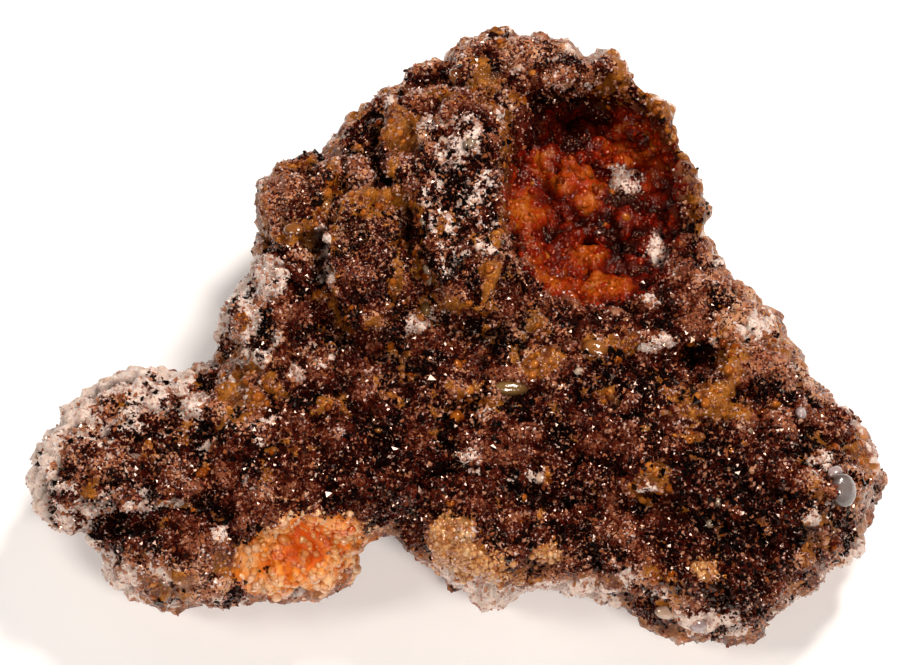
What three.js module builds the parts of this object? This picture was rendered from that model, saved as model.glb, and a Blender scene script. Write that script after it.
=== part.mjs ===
// A rough agate nodule lying on its flattest side: one lump of chalcedony with a warty crust.
// Three lobes meet in a broad field. The upper one carries a raised rib, a second lower rib and a
// deep rounded hollow, and the wall at the front has a shallow pocket and an undercut notch.
// Millimetres, +X along its length, +Z up. The origin is under the middle of its greatest length
// and width, at the level that it rests on.
import * as THREE from "three";

// Driving dimensions. The stone is set out on a plane tilted back from the ground, which is the
// way it shows most of its shape: u runs to the right, v runs up the plane, and a depth stands
// square to it. Every height is measured from the ground.
const PLANE_TILT = THREE.MathUtils.degToRad(60);
const SIN = Math.sin(PLANE_TILT);
const COS = Math.cos(PLANE_TILT);
const FIELD_HEIGHT = 22.5;
const RIM_HEIGHT = 14;
const RIM_RISE_PER_MM = 0.24;
const SHOULDER_NEAR = 10.5;
const SHOULDER_FAR = 5;

// The left lobe overhangs: its rim is higher and its wall turns further in, to a higher foot.
const LEFT_RIM_RISE = 4;
const LEFT_FOOTING = 0.08;
const LEFT_FOOT_RISE = 1.7;

// The wall turns in by this share for each millimetre of its height, and stands square to the
// plane for half of it. The underside is level between the feet, whose middles are worn flat.
const WALL_TURN_PER_MM = 1 / 80;
const UNDERSIDE_HEIGHT = 1.9;
const FOOT_DEPTH = 2.6;
const FOOT_FLAT = 0.35;

// Warts of the crust, sunk so that about half of each stands above the form, and the larger
// rounded lumps on the floor of the hollow.
const WART_SPACING = 7.5;
const WART_HEIGHT = 1.3;
const WART_LEVEL = 0.45;
const HOLLOW_LUMP_SPACING = 5.2;
const HOLLOW_LUMP_HEIGHT = 2.4;

// Mesh steps: squares across the top, rings round the shoulder and the walls.
const TOP_STEPS = 44;
const SHOULDER_RINGS = 7;
const SHOULDER_CROWDING = 1.7;
const WALL_RINGS = 6;

// The field's own edge is the outline without its bays, set in from it. The share of the outline
// that is averaged, how many points of it, and where round it the stations start.
const INSET_NEAR = 10;
const INSET_FAR = 5;
const EVEN_SPAN = 0.05;
const EVEN_SAMPLES = 6;
const EVEN_STEP = 0.004;
const START = -0.02;

// The middle from which the stone is laid out, in u and v.
const MIDDLE = [-2.5, -11];

// The greatest outline, as [u, v] round the stone from its right-hand end.
const OUTLINE = [
  [53.6, -18.3], [52.5, -13.9], [50.3, -10.4], [47.3, -7.8], [44.3, -3.3], [41.3, 1.3], [37.5, 5.1],
  [34.3, 8.8], [32.0, 11.8], [31.7, 13.6], [32.6, 15.6], [31.6, 18.1], [30.8, 20.6], [28.6, 23.6],
  [27.9, 27.6], [25.5, 30.6], [22.5, 33.1], [20.3, 35.6], [18.0, 34.9], [16.6, 35.3], [15.1, 36.8],
  [11.0, 37.9], [9.1, 37.9], [7.1, 38.8], [2.8, 37.4], [-1.8, 35.0], [-5.6, 34.0], [-6.8, 31.9],
  [-9.0, 30.9], [-12.5, 27.0], [-15.8, 23.3], [-20.8, 21.5], [-24.3, 18.4], [-24.6, 14.3],
  [-25.1, 11.9], [-24.1, 10.0], [-25.3, 6.5], [-27.8, 3.4], [-29.1, 0.5], [-30.0, -3.0],
  [-33.5, -5.2], [-38.0, -4.4], [-43.8, -6.3], [-48.5, -10.5], [-51.5, -15.5], [-52.1, -18.5],
  [-51.1, -20.5], [-48.8, -24.1], [-45.8, -24.7], [-44.6, -26.4], [-42.3, -30.1], [-41.3, -31.9],
  [-36.9, -33.5], [-34.8, -34.3], [-28.5, -34.1], [-25.3, -33.6], [-23.5, -32.6], [-18.5, -33.3],
  [-13.9, -31.3], [-12.2, -29.4], [-11.6, -27.7], [-7.8, -24.8], [-5.9, -25.6], [-4.9, -27.4],
  [-0.9, -30.3], [0.3, -31.8], [2.1, -31.9], [3.9, -33.5], [5.9, -33.9], [8.5, -32.4],
  [16.9, -32.4], [19.0, -33.4], [21.8, -33.1], [24.8, -36.5], [28.5, -37.9], [33.1, -38.1],
  [37.0, -37.6], [39.8, -35.0], [45.3, -31.9], [46.8, -29.6], [51.1, -27.1], [51.6, -24.8],
  [52.3, -21.9],
];

// Broad rises and hollows of the upper side: middle u and v, half length, half width, turn in
// degrees, height, and how soft the edge is (1 is a gentle swell, 0.2 a steep side).
const RELIEF = [
  { at: [0, 16], half: [32, 22], turn: 0, rise: 3.5, edge: 1 },
  { at: [1.6, 15.8], half: [15.2, 5.8], turn: 100, rise: 4.4, edge: 0.25 },
  { at: [3.8, 26], half: [4.6, 4], turn: 0, rise: 1.6, edge: 0.8 },
  { at: [-6.2, 23.6], half: [6.2, 3.4], turn: 98, rise: 2.8, edge: 0.4 },
  { at: [-10.2, 7.8], half: [9, 5.6], turn: 98, rise: 3.4, edge: 0.28 },
  { at: [-9.2, 16.4], half: [4.6, 1.9], turn: 5, rise: 1.8, edge: 0.5 },
  { at: [-18.2, 17.4], half: [7, 5.4], turn: 25, rise: 2.2, edge: 0.55 },
  { at: [-15, 10.4], half: [3.8, 1.5], turn: 105, rise: 1.6, edge: 0.6 },
  { at: [-21.8, 2.6], half: [8.6, 5], turn: 65, rise: 2.8, edge: 0.5 },
  { at: [-41.5, -14.5], half: [11, 9.5], turn: 20, rise: -0.8, edge: 0.9 },
  { at: [-33.5, -9.5], half: [5.5, 4], turn: 50, rise: -1.8, edge: 0.9 },
  { at: [-40.6, -23.7], half: [5.4, 1.3], turn: -3, rise: -4.2, edge: 0.6 },
  { at: [-35.5, -28.5], half: [7, 4], turn: 0, rise: 1.8, edge: 0.7 },
  { at: [-20.4, -28], half: [8.8, 4.8], turn: 8, rise: -3.6, edge: 0.3 },
  { at: [-8.5, -17], half: [12, 5], turn: 0, rise: 1.2, edge: 1 },
  { at: [-10.5, -7], half: [14, 2.4], turn: 3, rise: 1, edge: 0.9 },
  { at: [18.8, 17.2], half: [13.6, 11.2], turn: 96, rise: -9, edge: 0.28 },
  { at: [22.5, 23], half: [7, 5], turn: 120, rise: -2.6, edge: 0.8 },
  { at: [13.6, 29.2], half: [4.8, 1.6], turn: -10, rise: -3, edge: 0.6 },
  { at: [19.5, 21.4], half: [5.4, 1.3], turn: -6, rise: 1.8, edge: 0.6 },
  { at: [12, 34], half: [12, 3], turn: -6, rise: 2.2, edge: 0.8 },
  { at: [29.4, 21.6], half: [9.5, 2.4], turn: 116, rise: 2.4, edge: 0.7 },
  { at: [31.2, -4.2], half: [2.3, 2.3], turn: 0, rise: -4.2, edge: 0.5 },
  { at: [26.6, -3.8], half: [4.4, 1.9], turn: -6, rise: -1.8, edge: 0.6 },
  { at: [29.5, -8.8], half: [6.4, 1.6], turn: 0, rise: 1.3, edge: 0.7 },
  { at: [35, -4.4], half: [3.4, 1.5], turn: 80, rise: 1.3, edge: 0.7 },
  { at: [36.8, -8.2], half: [3, 1.5], turn: 0, rise: -1.6, edge: 0.7 },
  { at: [40, -17.5], half: [14, 10], turn: -30, rise: 2.4, edge: 0.9 },
  { at: [49.1, -20], half: [2.2, 2.2], turn: 0, rise: 1.4, edge: 0.5 },
  { at: [26, -16], half: [5, 3.2], turn: 10, rise: 1.5, edge: 0.8 },
  { at: [13.8, -22.8], half: [5.4, 3], turn: 0, rise: -2, edge: 0.8 },
  { at: [26.2, -23.4], half: [3.8, 2.6], turn: 0, rise: -1.8, edge: 0.8 },
  { at: [36.2, -26], half: [7, 4.2], turn: 10, rise: -2.4, edge: 0.7 },
  { at: [43.6, -26], half: [5, 1.5], turn: 100, rise: 1.4, edge: 0.6 },
  { at: [30.9, -29.8], half: [2.2, 1.9], turn: 0, rise: 1.6, edge: 0.6 },
  { at: [23.2, -29.6], half: [3.4, 1.7], turn: 80, rise: 1.3, edge: 0.6 },
  { at: [30, -34.8], half: [8, 2.6], turn: -6, rise: -2.6, edge: 0.5 },
  { at: [0.4, -26], half: [4.6, 3.2], turn: 90, rise: 1.4, edge: 0.6 },
  { at: [4.2, -30.6], half: [5.4, 2], turn: -4, rise: 1, edge: 0.6 },
  { at: [-9, -14.8], half: [3.4, 2], turn: 0, rise: -1.5, edge: 0.9 },
];

// The floor of the hollow, where the rounded lumps are.
const HOLLOW_FLOOR = { at: [17, 16], half: [12.5, 9.5], turn: 100, edge: 0.3 };

// Open cracks between the ribs: the line of each in u and v, its half width and its depth.
const CRACKS = [
  {
    line: [[-9, 23.5], [-8.8, 18.5], [-6.3, 17], [-4.6, 11.5], [-3, 5.4], [0.4, 0.8]],
    half: 1,
    depth: 3.2,
  },
  { line: [[-17.3, 11.6], [-16, 8], [-15.2, 3.6], [-13.6, 0]], half: 1.2, depth: 3.6 },
  { line: [[-7.4, 34], [-2, 32], [3, 28.6]], half: 0.9, depth: 1.6 },
  { line: [[-21.2, 15], [-20.6, 12]], half: 0.8, depth: 1.6 },
];

// The lumps underneath that the stone stands on: plan position and radius of each.
const FEET = [
  { at: [-22, -22], radius: 11 },
  { at: [30, -28], radius: 11.5 },
  { at: [4, 12], radius: 12 },
];

const mix = (a, b, share) => a + (b - a) * share;
const smoothstep = (low, high, value) => {
  const share = Math.min(Math.max((value - low) / (high - low), 0), 1);
  return share * share * (3 - 2 * share);
};

// A repeatable number from 0 to 1 for a cell of a grid.
function scatter(i, j, k, salt) {
  const wave = Math.sin(i * 127.1 + j * 311.7 + k * 74.7 + salt * 19.19) * 43758.5453;
  return wave - Math.floor(wave);
}

// Rounded domes on scattered middles: 1 on top of a dome, falling to 0 at its foot.
function domes(x, y, z, spacing, salt) {
  const home = [x / spacing, y / spacing, z / spacing];
  const cell = home.map(Math.floor);
  let best = 0;
  for (let di = -1; di <= 1; di++) {
    for (let dj = -1; dj <= 1; dj++) {
      for (let dk = -1; dk <= 1; dk++) {
        const [i, j, k] = [cell[0] + di, cell[1] + dj, cell[2] + dk];
        const dx = i + scatter(i, j, k, salt) - home[0];
        const dy = j + scatter(i, j, k, salt + 1) - home[1];
        const dz = k + scatter(i, j, k, salt + 2) - home[2];
        const size = mix(0.55, 1, scatter(i, j, k, salt + 3));
        best = Math.max(best, size * (1 - (dx * dx + dy * dy + dz * dz) / (size * size)));
      }
    }
  }
  return best;
}

// 1 inside an oval, falling to 0 outside it over its soft edge.
function oval({ at, half, turn, edge }, u, v) {
  const angle = THREE.MathUtils.degToRad(turn);
  const [du, dv] = [u - at[0], v - at[1]];
  const along = (du * Math.cos(angle) + dv * Math.sin(angle)) / half[0];
  const across = (dv * Math.cos(angle) - du * Math.sin(angle)) / half[1];
  return 1 - smoothstep(1 - edge, 1 + edge, Math.hypot(along, across));
}

// The distance from a point to a line of several stretches.
function distanceTo(line, u, v) {
  let least = Infinity;
  for (let n = 1; n < line.length; n++) {
    const [a, b] = [line[n - 1], line[n]];
    const [ru, rv] = [b[0] - a[0], b[1] - a[1]];
    const share = ((u - a[0]) * ru + (v - a[1]) * rv) / (ru * ru + rv * rv);
    const held = Math.min(Math.max(share, 0), 1);
    least = Math.min(least, Math.hypot(u - a[0] - held * ru, v - a[1] - held * rv));
  }
  return least;
}

// The height of the upper side above the ground at a point of the plane.
function upperHeight(u, v) {
  let height = FIELD_HEIGHT;
  for (const form of RELIEF) height += form.rise * oval(form, u, v);
  for (const { line, half, depth } of CRACKS) {
    height -= depth * Math.exp(-((distanceTo(line, u, v) / half) ** 2));
  }
  const lumps = HOLLOW_LUMP_HEIGHT * domes(u, v, 0, HOLLOW_LUMP_SPACING, 5);
  return height + oval(HOLLOW_FLOOR, u, v) * lumps;
}

// A point of the plane, at a height above the ground, in the stone's own frame.
function place(u, v, height) {
  return new THREE.Vector3(u, (v - height * COS) / SIN, height);
}

// The outline as an even walk of a smooth closed curve through its points.
const outlineCurve = new THREE.CatmullRomCurve3(
  OUTLINE.map(([u, v]) => new THREE.Vector3(u, v, 0)), true, "catmullrom", 0.5,
);
outlineCurve.arcLengthDivisions = OUTLINE.length * 12;
const outlineAt = (share) => outlineCurve.getPointAt((share + START + 1) % 1);

// The outline without its bays: the mean of a stretch of it.
function evenOutlineAt(share) {
  const mean = new THREE.Vector3();
  for (let n = -EVEN_SAMPLES; n <= EVEN_SAMPLES; n++) {
    mean.add(outlineAt(share + (n / EVEN_SAMPLES) * EVEN_SPAN));
  }
  return mean.divideScalar(2 * EVEN_SAMPLES + 1);
}

// The stations round the stone: what each one needs to draw its shoulder and wall.
function stationAt(share) {
  const rim = outlineAt(share);
  const run = evenOutlineAt(share + EVEN_STEP).sub(evenOutlineAt(share - EVEN_STEP)).normalize();
  const field = evenOutlineAt(share);
  const toFar = smoothstep(-28, 12, rim.y);
  field.addScaledVector(new THREE.Vector3(-run.y, run.x, 0), mix(INSET_NEAR, INSET_FAR, toFar));
  const leftLobe = smoothstep(-34, -46, rim.x) * smoothstep(-30, -20, rim.y);
  const rimHeight = RIM_HEIGHT + RIM_RISE_PER_MM * rim.y + LEFT_RIM_RISE * leftLobe;
  const shoulder = mix(SHOULDER_NEAR, SHOULDER_FAR, toFar);
  const footing = 1 - WALL_TURN_PER_MM * rimHeight - LEFT_FOOTING * leftLobe;
  return { rim, field, rimHeight, shoulder, footing, leftLobe };
}

// The rounded shoulder: from the rim in towards the field, up a quarter of an ellipse as wide as
// the shoulder and on over the upper side.
function shoulderPoint({ rim, field, rimHeight, shoulder }, share) {
  const { x: u, y: v } = rim.clone().lerp(field, share);
  const left = Math.max(1 - (share * rim.distanceTo(field)) / shoulder, 0);
  return place(u, v, mix(rimHeight, upperHeight(u, v), Math.sqrt(1 - left * left)));
}

// The wall below the rim: a curve that leaves the rim square to the plane and turns in to the foot.
function wallPoint({ rim, rimHeight, footing, leftLobe }, share) {
  const start = place(rim.x, rim.y, rimHeight);
  const square = new THREE.Vector3(0, COS, -SIN);
  const knee = start.clone().addScaledVector(square, (0.5 * rimHeight) / SIN);
  const [u, v] = [mix(MIDDLE[0], rim.x, footing), mix(MIDDLE[1], rim.y, footing)];
  const foot = place(u, v, UNDERSIDE_HEIGHT + LEFT_FOOT_RISE * leftLobe);
  return new THREE.QuadraticBezierCurve3(start, knee, foot).getPoint(share);
}

// The underside: nearly level, lower on its feet, which are worn flat where they stand.
function undersidePoint({ x, y, z }) {
  let height = z;
  for (const { at, radius } of FEET) {
    const near = Math.hypot(x - at[0], y - at[1]) / radius;
    height -= FOOT_DEPTH * (1 - smoothstep(FOOT_FLAT, 1, near));
  }
  return new THREE.Vector3(x, y, Math.max(height, 0));
}

// A square grid drawn in to a disc: for each grid point its share of the way out and round.
function discShares(column, row, steps) {
  const [x, y] = [(2 * column) / steps - 1, (2 * row) / steps - 1];
  const out = Math.max(Math.abs(x), Math.abs(y));
  if (out === 0) return [0, 0];
  let eighth;
  if (x === out) eighth = y / out;
  else if (y === out) eighth = 2 - x / out;
  else if (x === -out) eighth = 4 - y / out;
  else eighth = 6 + x / out;
  return [out, ((eighth + 8) % 8) / 8];
}

// Moves the inner points of a square grid until each is the mean of its four neighbours.
function evenOut(grid, steps) {
  const push = 2 / (1 + Math.sin(Math.PI / steps));
  const width = steps + 1;
  for (let round = 0; round < 4 * steps; round++) {
    for (let row = 1; row < steps; row++) {
      for (let column = 1; column < steps; column++) {
        const at = row * width + column;
        const mean = grid[at - 1].clone().add(grid[at + 1]);
        mean.add(grid[at - width]).add(grid[at + width]).divideScalar(4);
        grid[at].lerp(mean, push);
      }
    }
  }
}

// Lays a square grid over a loop of edge points, which its own edge follows point by point.
function fillLoop(edge, steps) {
  const middle = new THREE.Vector3();
  for (const point of edge) middle.addScaledVector(point, 1 / edge.length);
  const grid = [];
  for (let row = 0; row <= steps; row++) {
    for (let column = 0; column <= steps; column++) {
      const [out, along] = discShares(column, row, steps);
      const nearest = Math.round(along * edge.length) % edge.length;
      grid.push(middle.clone().lerp(edge[nearest], out));
    }
  }
  evenOut(grid, steps);
  return grid;
}

// The whole stone as grids and rings of points that share their edges.
function stoneMesh() {
  const points = [];
  const faces = [];
  const stations = [];
  for (let n = 0; n < 4 * TOP_STEPS; n++) stations.push(stationAt(n / (4 * TOP_STEPS)));

  // Two triangles on four points, parted along the shorter diagonal, so that a steep side is even.
  const addSquare = (a, b, c, d) => {
    const across = points[a].distanceTo(points[c]) < points[b].distanceTo(points[d]);
    faces.push(...(across ? [[a, b, c], [a, c, d]] : [[a, b, d], [b, c, d]]));
  };

  // Adds a square grid and returns the loop of its edge, in the order of the stations.
  const addGrid = (grid, steps, upward) => {
    const start = points.length;
    const loop = new Array(4 * steps);
    points.push(...grid);
    for (let row = 0; row <= steps; row++) {
      for (let column = 0; column <= steps; column++) {
        const at = start + row * (steps + 1) + column;
        const [out, along] = discShares(column, row, steps);
        if (out === 1) loop[Math.round(along * 4 * steps) % (4 * steps)] = at;
        if (row === steps || column === steps) continue;
        const square = [at, at + 1, at + steps + 2, at + steps + 1];
        addSquare(...(upward ? square : square.reverse()));
      }
    }
    return loop;
  };

  const field = fillLoop(stations.map((station) => station.field), TOP_STEPS);
  const top = field.map(({ x: u, y: v }) => place(u, v, upperHeight(u, v)));
  let above = addGrid(top, TOP_STEPS, true);
  const addRing = (ring) => {
    const below = ring.map((point) => points.push(point) - 1);
    for (let n = 0; n < above.length; n++) {
      const next = (n + 1) % above.length;
      addSquare(above[n], below[n], below[next], above[next]);
    }
    above = below;
  };
  for (let n = SHOULDER_RINGS - 1; n >= 0; n--) {
    const share = (n / SHOULDER_RINGS) ** SHOULDER_CROWDING;
    addRing(stations.map((station) => shoulderPoint(station, share)));
  }
  for (let n = 1; n < WALL_RINGS; n++) {
    addRing(stations.map((station) => wallPoint(station, n / WALL_RINGS)));
  }

  // The underside has half as many points round its edge, so the last ring takes them two by two.
  const feet = stations.filter((_, n) => n % 2 === 0).map((station) => wallPoint(station, 1));
  const under = fillLoop(feet, TOP_STEPS / 2).map(undersidePoint);
  const bottom = addGrid(under, TOP_STEPS / 2, false);
  for (let n = 0; n < bottom.length; n++) {
    const [a, b, c] = [above[2 * n], above[2 * n + 1], above[(2 * n + 2) % above.length]];
    const [foot, next] = [bottom[n], bottom[(n + 1) % bottom.length]];
    faces.push([a, foot, b], [b, foot, next], [b, next, c]);
  }
  return { points, faces };
}

function geometryOf({ points, faces }) {
  const geometry = new THREE.BufferGeometry();
  const numbers = points.flatMap((point) => point.toArray());
  geometry.setAttribute("position", new THREE.Float32BufferAttribute(numbers, 3));
  geometry.setIndex(faces.flat());
  geometry.computeVertexNormals();
  return geometry;
}

// Warts: every point above the underside moves along its normal by the domes.
function addWarts(mesh) {
  const normals = geometryOf(mesh).getAttribute("normal");
  mesh.points = mesh.points.map((point, n) => {
    const normal = new THREE.Vector3().fromBufferAttribute(normals, n);
    const wart = domes(point.x, point.y, point.z, WART_SPACING, 11) - WART_LEVEL;
    const clear = smoothstep(0.5, 5, point.z);
    const moved = point.clone().addScaledVector(normal, WART_HEIGHT * wart * clear);
    return moved.setZ(Math.max(moved.z, 0));
  });
  return mesh;
}

// Moves the stone so that the origin is under the middle of its length and width.
function centred(geometry) {
  geometry.computeBoundingBox();
  const middle = geometry.boundingBox.getCenter(new THREE.Vector3());
  return geometry.translate(-middle.x, -middle.y, -geometry.boundingBox.min.z);
}

const crust = new THREE.MeshStandardMaterial({ color: 0x5a3426, roughness: 0.55, metalness: 0 });
const nodule = new THREE.Mesh(centred(geometryOf(addWarts(stoneMesh()))), crust);
nodule.name = "agate_nodule";

const group = new THREE.Group();
group.add(nodule);

export default group;
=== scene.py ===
"""A rough agate nodule: a lump of chalcedony under a warty crust of glossy quartz grains.

Lengths in the stone's sections are millimetres, as a specimen is measured, and each mesh is turned
into metres when it is made. The floor, the lamps and the camera are in metres. The stone lies on its
flattest side, +X along it, +Z up.
"""

import math

import bpy
import numpy as np
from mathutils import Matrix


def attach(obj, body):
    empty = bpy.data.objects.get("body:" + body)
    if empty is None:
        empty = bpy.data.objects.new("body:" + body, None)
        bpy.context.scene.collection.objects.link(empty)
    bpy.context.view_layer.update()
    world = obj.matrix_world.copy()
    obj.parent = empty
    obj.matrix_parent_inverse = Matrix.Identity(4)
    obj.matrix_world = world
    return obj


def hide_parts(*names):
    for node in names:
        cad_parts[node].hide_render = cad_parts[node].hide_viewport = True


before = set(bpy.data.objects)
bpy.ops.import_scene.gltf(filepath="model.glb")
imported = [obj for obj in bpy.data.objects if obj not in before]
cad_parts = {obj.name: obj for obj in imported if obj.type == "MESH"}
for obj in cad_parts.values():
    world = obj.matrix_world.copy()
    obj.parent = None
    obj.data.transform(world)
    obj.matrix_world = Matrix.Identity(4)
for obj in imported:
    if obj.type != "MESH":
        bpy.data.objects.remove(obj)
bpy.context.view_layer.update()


# The body: the whole lump from the crust's bed down to its feet, as one closed skin. Its upper
# side and shoulder are the pale to red-brown bed that the grains have grown on, and its walls
# are bare chalcedony.

# The broad form is the solid part's own, with the same sizes. It is set out on a plane that leans
# back from the ground: u runs to the right, v runs up the plane, and every height is measured
# from the ground. Near and far are the sides towards the viewer and away from them.
PLANE_TILT = math.radians(60)
SIN, COS = math.sin(PLANE_TILT), math.cos(PLANE_TILT)
CENTRING = np.array([-0.74, 8.06, 0.0])

FIELD_HEIGHT = 22.5
RIM_HEIGHT, RIM_RISE_PER_MM = 14, 0.24
SHOULDER_NEAR, SHOULDER_FAR = 10.5, 5
INSET_NEAR, INSET_FAR = 10, 5
NEAR_V, FAR_V = -28, 12
UNDERSIDE_HEIGHT = 1.9
FOOT_DEPTH, FOOT_FLAT = 2.6, 0.35
HOLLOW_LUMP_SPACING, HOLLOW_LUMP_HEIGHT = 5.2, 2.4

# The wall draws in towards the middle on its way down, by this share for each mm of its height.
# The left lobe overhangs: its rim is higher, its wall draws in more, and its foot is raised.
MIDDLE = np.array([-2.5, -11.0])
WALL_TURN_PER_MM = 1 / 80
LEFT_LOBE_U, LEFT_LOBE_V = (34, 46), (-30, -20)
LEFT_RIM_RISE, LEFT_FOOTING, LEFT_FOOT_RISE = 4, 0.08, 1.7

# Shares of the outline's length: where the walk round it starts, the stretch to either side that
# the even outline is the mean of, and the step that gives its direction.
START = -0.02
EVEN_SPAN, EVEN_STEP = 0.05, 0.004
EVEN_SAMPLES = 6

# The rim's outline as u and v, once round from the right end of the stone.
OUTLINE = np.array([
    (53.6, -18.3), (52.5, -13.9), (50.3, -10.4), (47.3, -7.8), (44.3, -3.3), (41.3, 1.3),
    (37.5, 5.1), (34.3, 8.8), (32.0, 11.8), (31.7, 13.6), (32.6, 15.6), (31.6, 18.1),
    (30.8, 20.6), (28.6, 23.6), (27.9, 27.6), (25.5, 30.6), (22.5, 33.1), (20.3, 35.6),
    (18.0, 34.9), (16.6, 35.3), (15.1, 36.8), (11.0, 37.9), (9.1, 37.9), (7.1, 38.8),
    (2.8, 37.4), (-1.8, 35.0), (-5.6, 34.0), (-6.8, 31.9), (-9.0, 30.9), (-12.5, 27.0),
    (-15.8, 23.3), (-20.8, 21.5), (-24.3, 18.4), (-24.6, 14.3), (-25.1, 11.9), (-24.1, 10.0),
    (-25.3, 6.5), (-27.8, 3.4), (-29.1, 0.5), (-30.0, -3.0), (-33.5, -5.2), (-38.0, -4.4),
    (-43.8, -6.3), (-48.5, -10.5), (-51.5, -15.5), (-52.1, -18.5), (-51.1, -20.5),
    (-48.8, -24.1), (-45.8, -24.7), (-44.6, -26.4), (-42.3, -30.1), (-41.3, -31.9),
    (-36.9, -33.5), (-34.8, -34.3), (-28.5, -34.1), (-25.3, -33.6), (-23.5, -32.6),
    (-18.5, -33.3), (-13.9, -31.3), (-12.2, -29.4), (-11.6, -27.7), (-7.8, -24.8),
    (-5.9, -25.6), (-4.9, -27.4), (-0.9, -30.3), (0.3, -31.8), (2.1, -31.9), (3.9, -33.5),
    (5.9, -33.9), (8.5, -32.4), (16.9, -32.4), (19.0, -33.4), (21.8, -33.1), (24.8, -36.5),
    (28.5, -37.9), (33.1, -38.1), (37.0, -37.6), (39.8, -35.0), (45.3, -31.9), (46.8, -29.6),
    (51.1, -27.1), (51.6, -24.8), (52.3, -21.9),
])

# Rises and hollows: middle u and v, half length and width, turn in degrees, rise, and softness.
RELIEF = [
    (0, 16, 32, 22, 0, 3.5, 1), (1.6, 15.8, 15.2, 5.8, 100, 4.4, 0.25), (3.8, 26, 4.6, 4, 0, 1.6, 0.8),
    (-6.2, 23.6, 6.2, 3.4, 98, 2.8, 0.4), (-10.2, 7.8, 9, 5.6, 98, 3.4, 0.28),
    (-9.2, 16.4, 4.6, 1.9, 5, 1.8, 0.5), (-18.2, 17.4, 7, 5.4, 25, 2.2, 0.55),
    (-15, 10.4, 3.8, 1.5, 105, 1.6, 0.6), (-21.8, 2.6, 8.6, 5, 65, 2.8, 0.5),
    (-41.5, -14.5, 11, 9.5, 20, -0.8, 0.9), (-33.5, -9.5, 5.5, 4, 50, -1.8, 0.9),
    (-40.6, -23.7, 5.4, 1.3, -3, -4.2, 0.6), (-35.5, -28.5, 7, 4, 0, 1.8, 0.7),
    (-20.4, -28, 8.8, 4.8, 8, -3.6, 0.3), (-8.5, -17, 12, 5, 0, 1.2, 1), (-10.5, -7, 14, 2.4, 3, 1, 0.9),
    (18.8, 17.2, 13.6, 11.2, 96, -9, 0.28), (22.5, 23, 7, 5, 120, -2.6, 0.8),
    (13.6, 29.2, 4.8, 1.6, -10, -3, 0.6), (19.5, 21.4, 5.4, 1.3, -6, 1.8, 0.6),
    (12, 34, 12, 3, -6, 2.2, 0.8), (29.4, 21.6, 9.5, 2.4, 116, 2.4, 0.7),
    (31.2, -4.2, 2.3, 2.3, 0, -4.2, 0.5), (26.6, -3.8, 4.4, 1.9, -6, -1.8, 0.6),
    (29.5, -8.8, 6.4, 1.6, 0, 1.3, 0.7), (35, -4.4, 3.4, 1.5, 80, 1.3, 0.7),
    (36.8, -8.2, 3, 1.5, 0, -1.6, 0.7), (40, -17.5, 14, 10, -30, 2.4, 0.9),
    (49.1, -20, 2.2, 2.2, 0, 1.4, 0.5), (26, -16, 5, 3.2, 10, 1.5, 0.8), (13.8, -22.8, 5.4, 3, 0, -2, 0.8),
    (26.2, -23.4, 3.8, 2.6, 0, -1.8, 0.8), (36.2, -26, 7, 4.2, 10, -2.4, 0.7),
    (43.6, -26, 5, 1.5, 100, 1.4, 0.6), (30.9, -29.8, 2.2, 1.9, 0, 1.6, 0.6),
    (23.2, -29.6, 3.4, 1.7, 80, 1.3, 0.6), (30, -34.8, 8, 2.6, -6, -2.6, 0.5),
    (0.4, -26, 4.6, 3.2, 90, 1.4, 0.6), (4.2, -30.6, 5.4, 2, -4, 1, 0.6), (-9, -14.8, 3.4, 2, 0, -1.5, 0.9),
]
HOLLOW_FLOOR = (17, 16, 12.5, 9.5, 100, 1, 0.3)

# Open cracks between the ribs: the line of each, its half width and its depth.
CRACKS = [
    ([(-9.4, 24.6), (-9.2, 20), (-8.6, 18.4)], 0.8, 3.6),
    ([(-6.6, 17), (-4.6, 11.5), (-3, 5.4), (0.4, 0.8)], 0.5, 1.2),
    ([(-17.3, 11.6), (-16, 8), (-15.2, 3.6), (-13.6, 0)], 0.85, 3.4),
    ([(-7.4, 34), (-2, 32), (3, 28.6)], 0.9, 1.6), ([(-21.2, 15), (-20.6, 12)], 0.8, 1.6),
]

# The feet: middle x and y, and radius.
FEET = [(-22, -22, 11), (30, -28, 11.5), (4, 12, 12)]


def smoothstep(low, high, value):
    """0 below low, 1 above high, and a smooth S between them."""
    share = np.clip((value - low) / (high - low), 0, 1)
    return share * share * (3 - 2 * share)


def scatter(i, j, k, salt):
    """A repeatable number from 0 to 1 for each cell of a grid: the fraction of a steep sine. Each
    salt gives another set of them."""
    wave = np.sin(i * 127.1 + j * 311.7 + k * 74.7 + salt * 19.19) * 43758.5453
    return wave - np.floor(wave)


def domes(x, y, z, spacing, salt, numbered=False):
    """Rounded domes on scattered middles: for each point the highest of the paraboloids that
    stand in its own cell and the 26 cells round it, up to 1 on top and 0 at the foot. A numbered
    call also gives the number, 0 to 1, that belongs to the dome the point is on."""
    home = np.stack([x, y, z]) / spacing
    cell = np.floor(home)
    best, number = np.zeros_like(home[0]), np.zeros_like(home[0])
    for step in np.ndindex(3, 3, 3):
        i, j, k = cell + np.array(step).reshape(3, *[1] * (home.ndim - 1)) - 1
        away = np.stack([i + scatter(i, j, k, salt), j + scatter(i, j, k, salt + 1),
                         k + scatter(i, j, k, salt + 2)]) - home
        size = 0.55 + 0.45 * scatter(i, j, k, salt + 3)
        height = size * (1 - (away ** 2).sum(0) / size ** 2)
        number = np.where(height > best, scatter(i, j, k, salt + 4), number)
        best = np.maximum(best, height)
    return (best, number) if numbered else best


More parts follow.
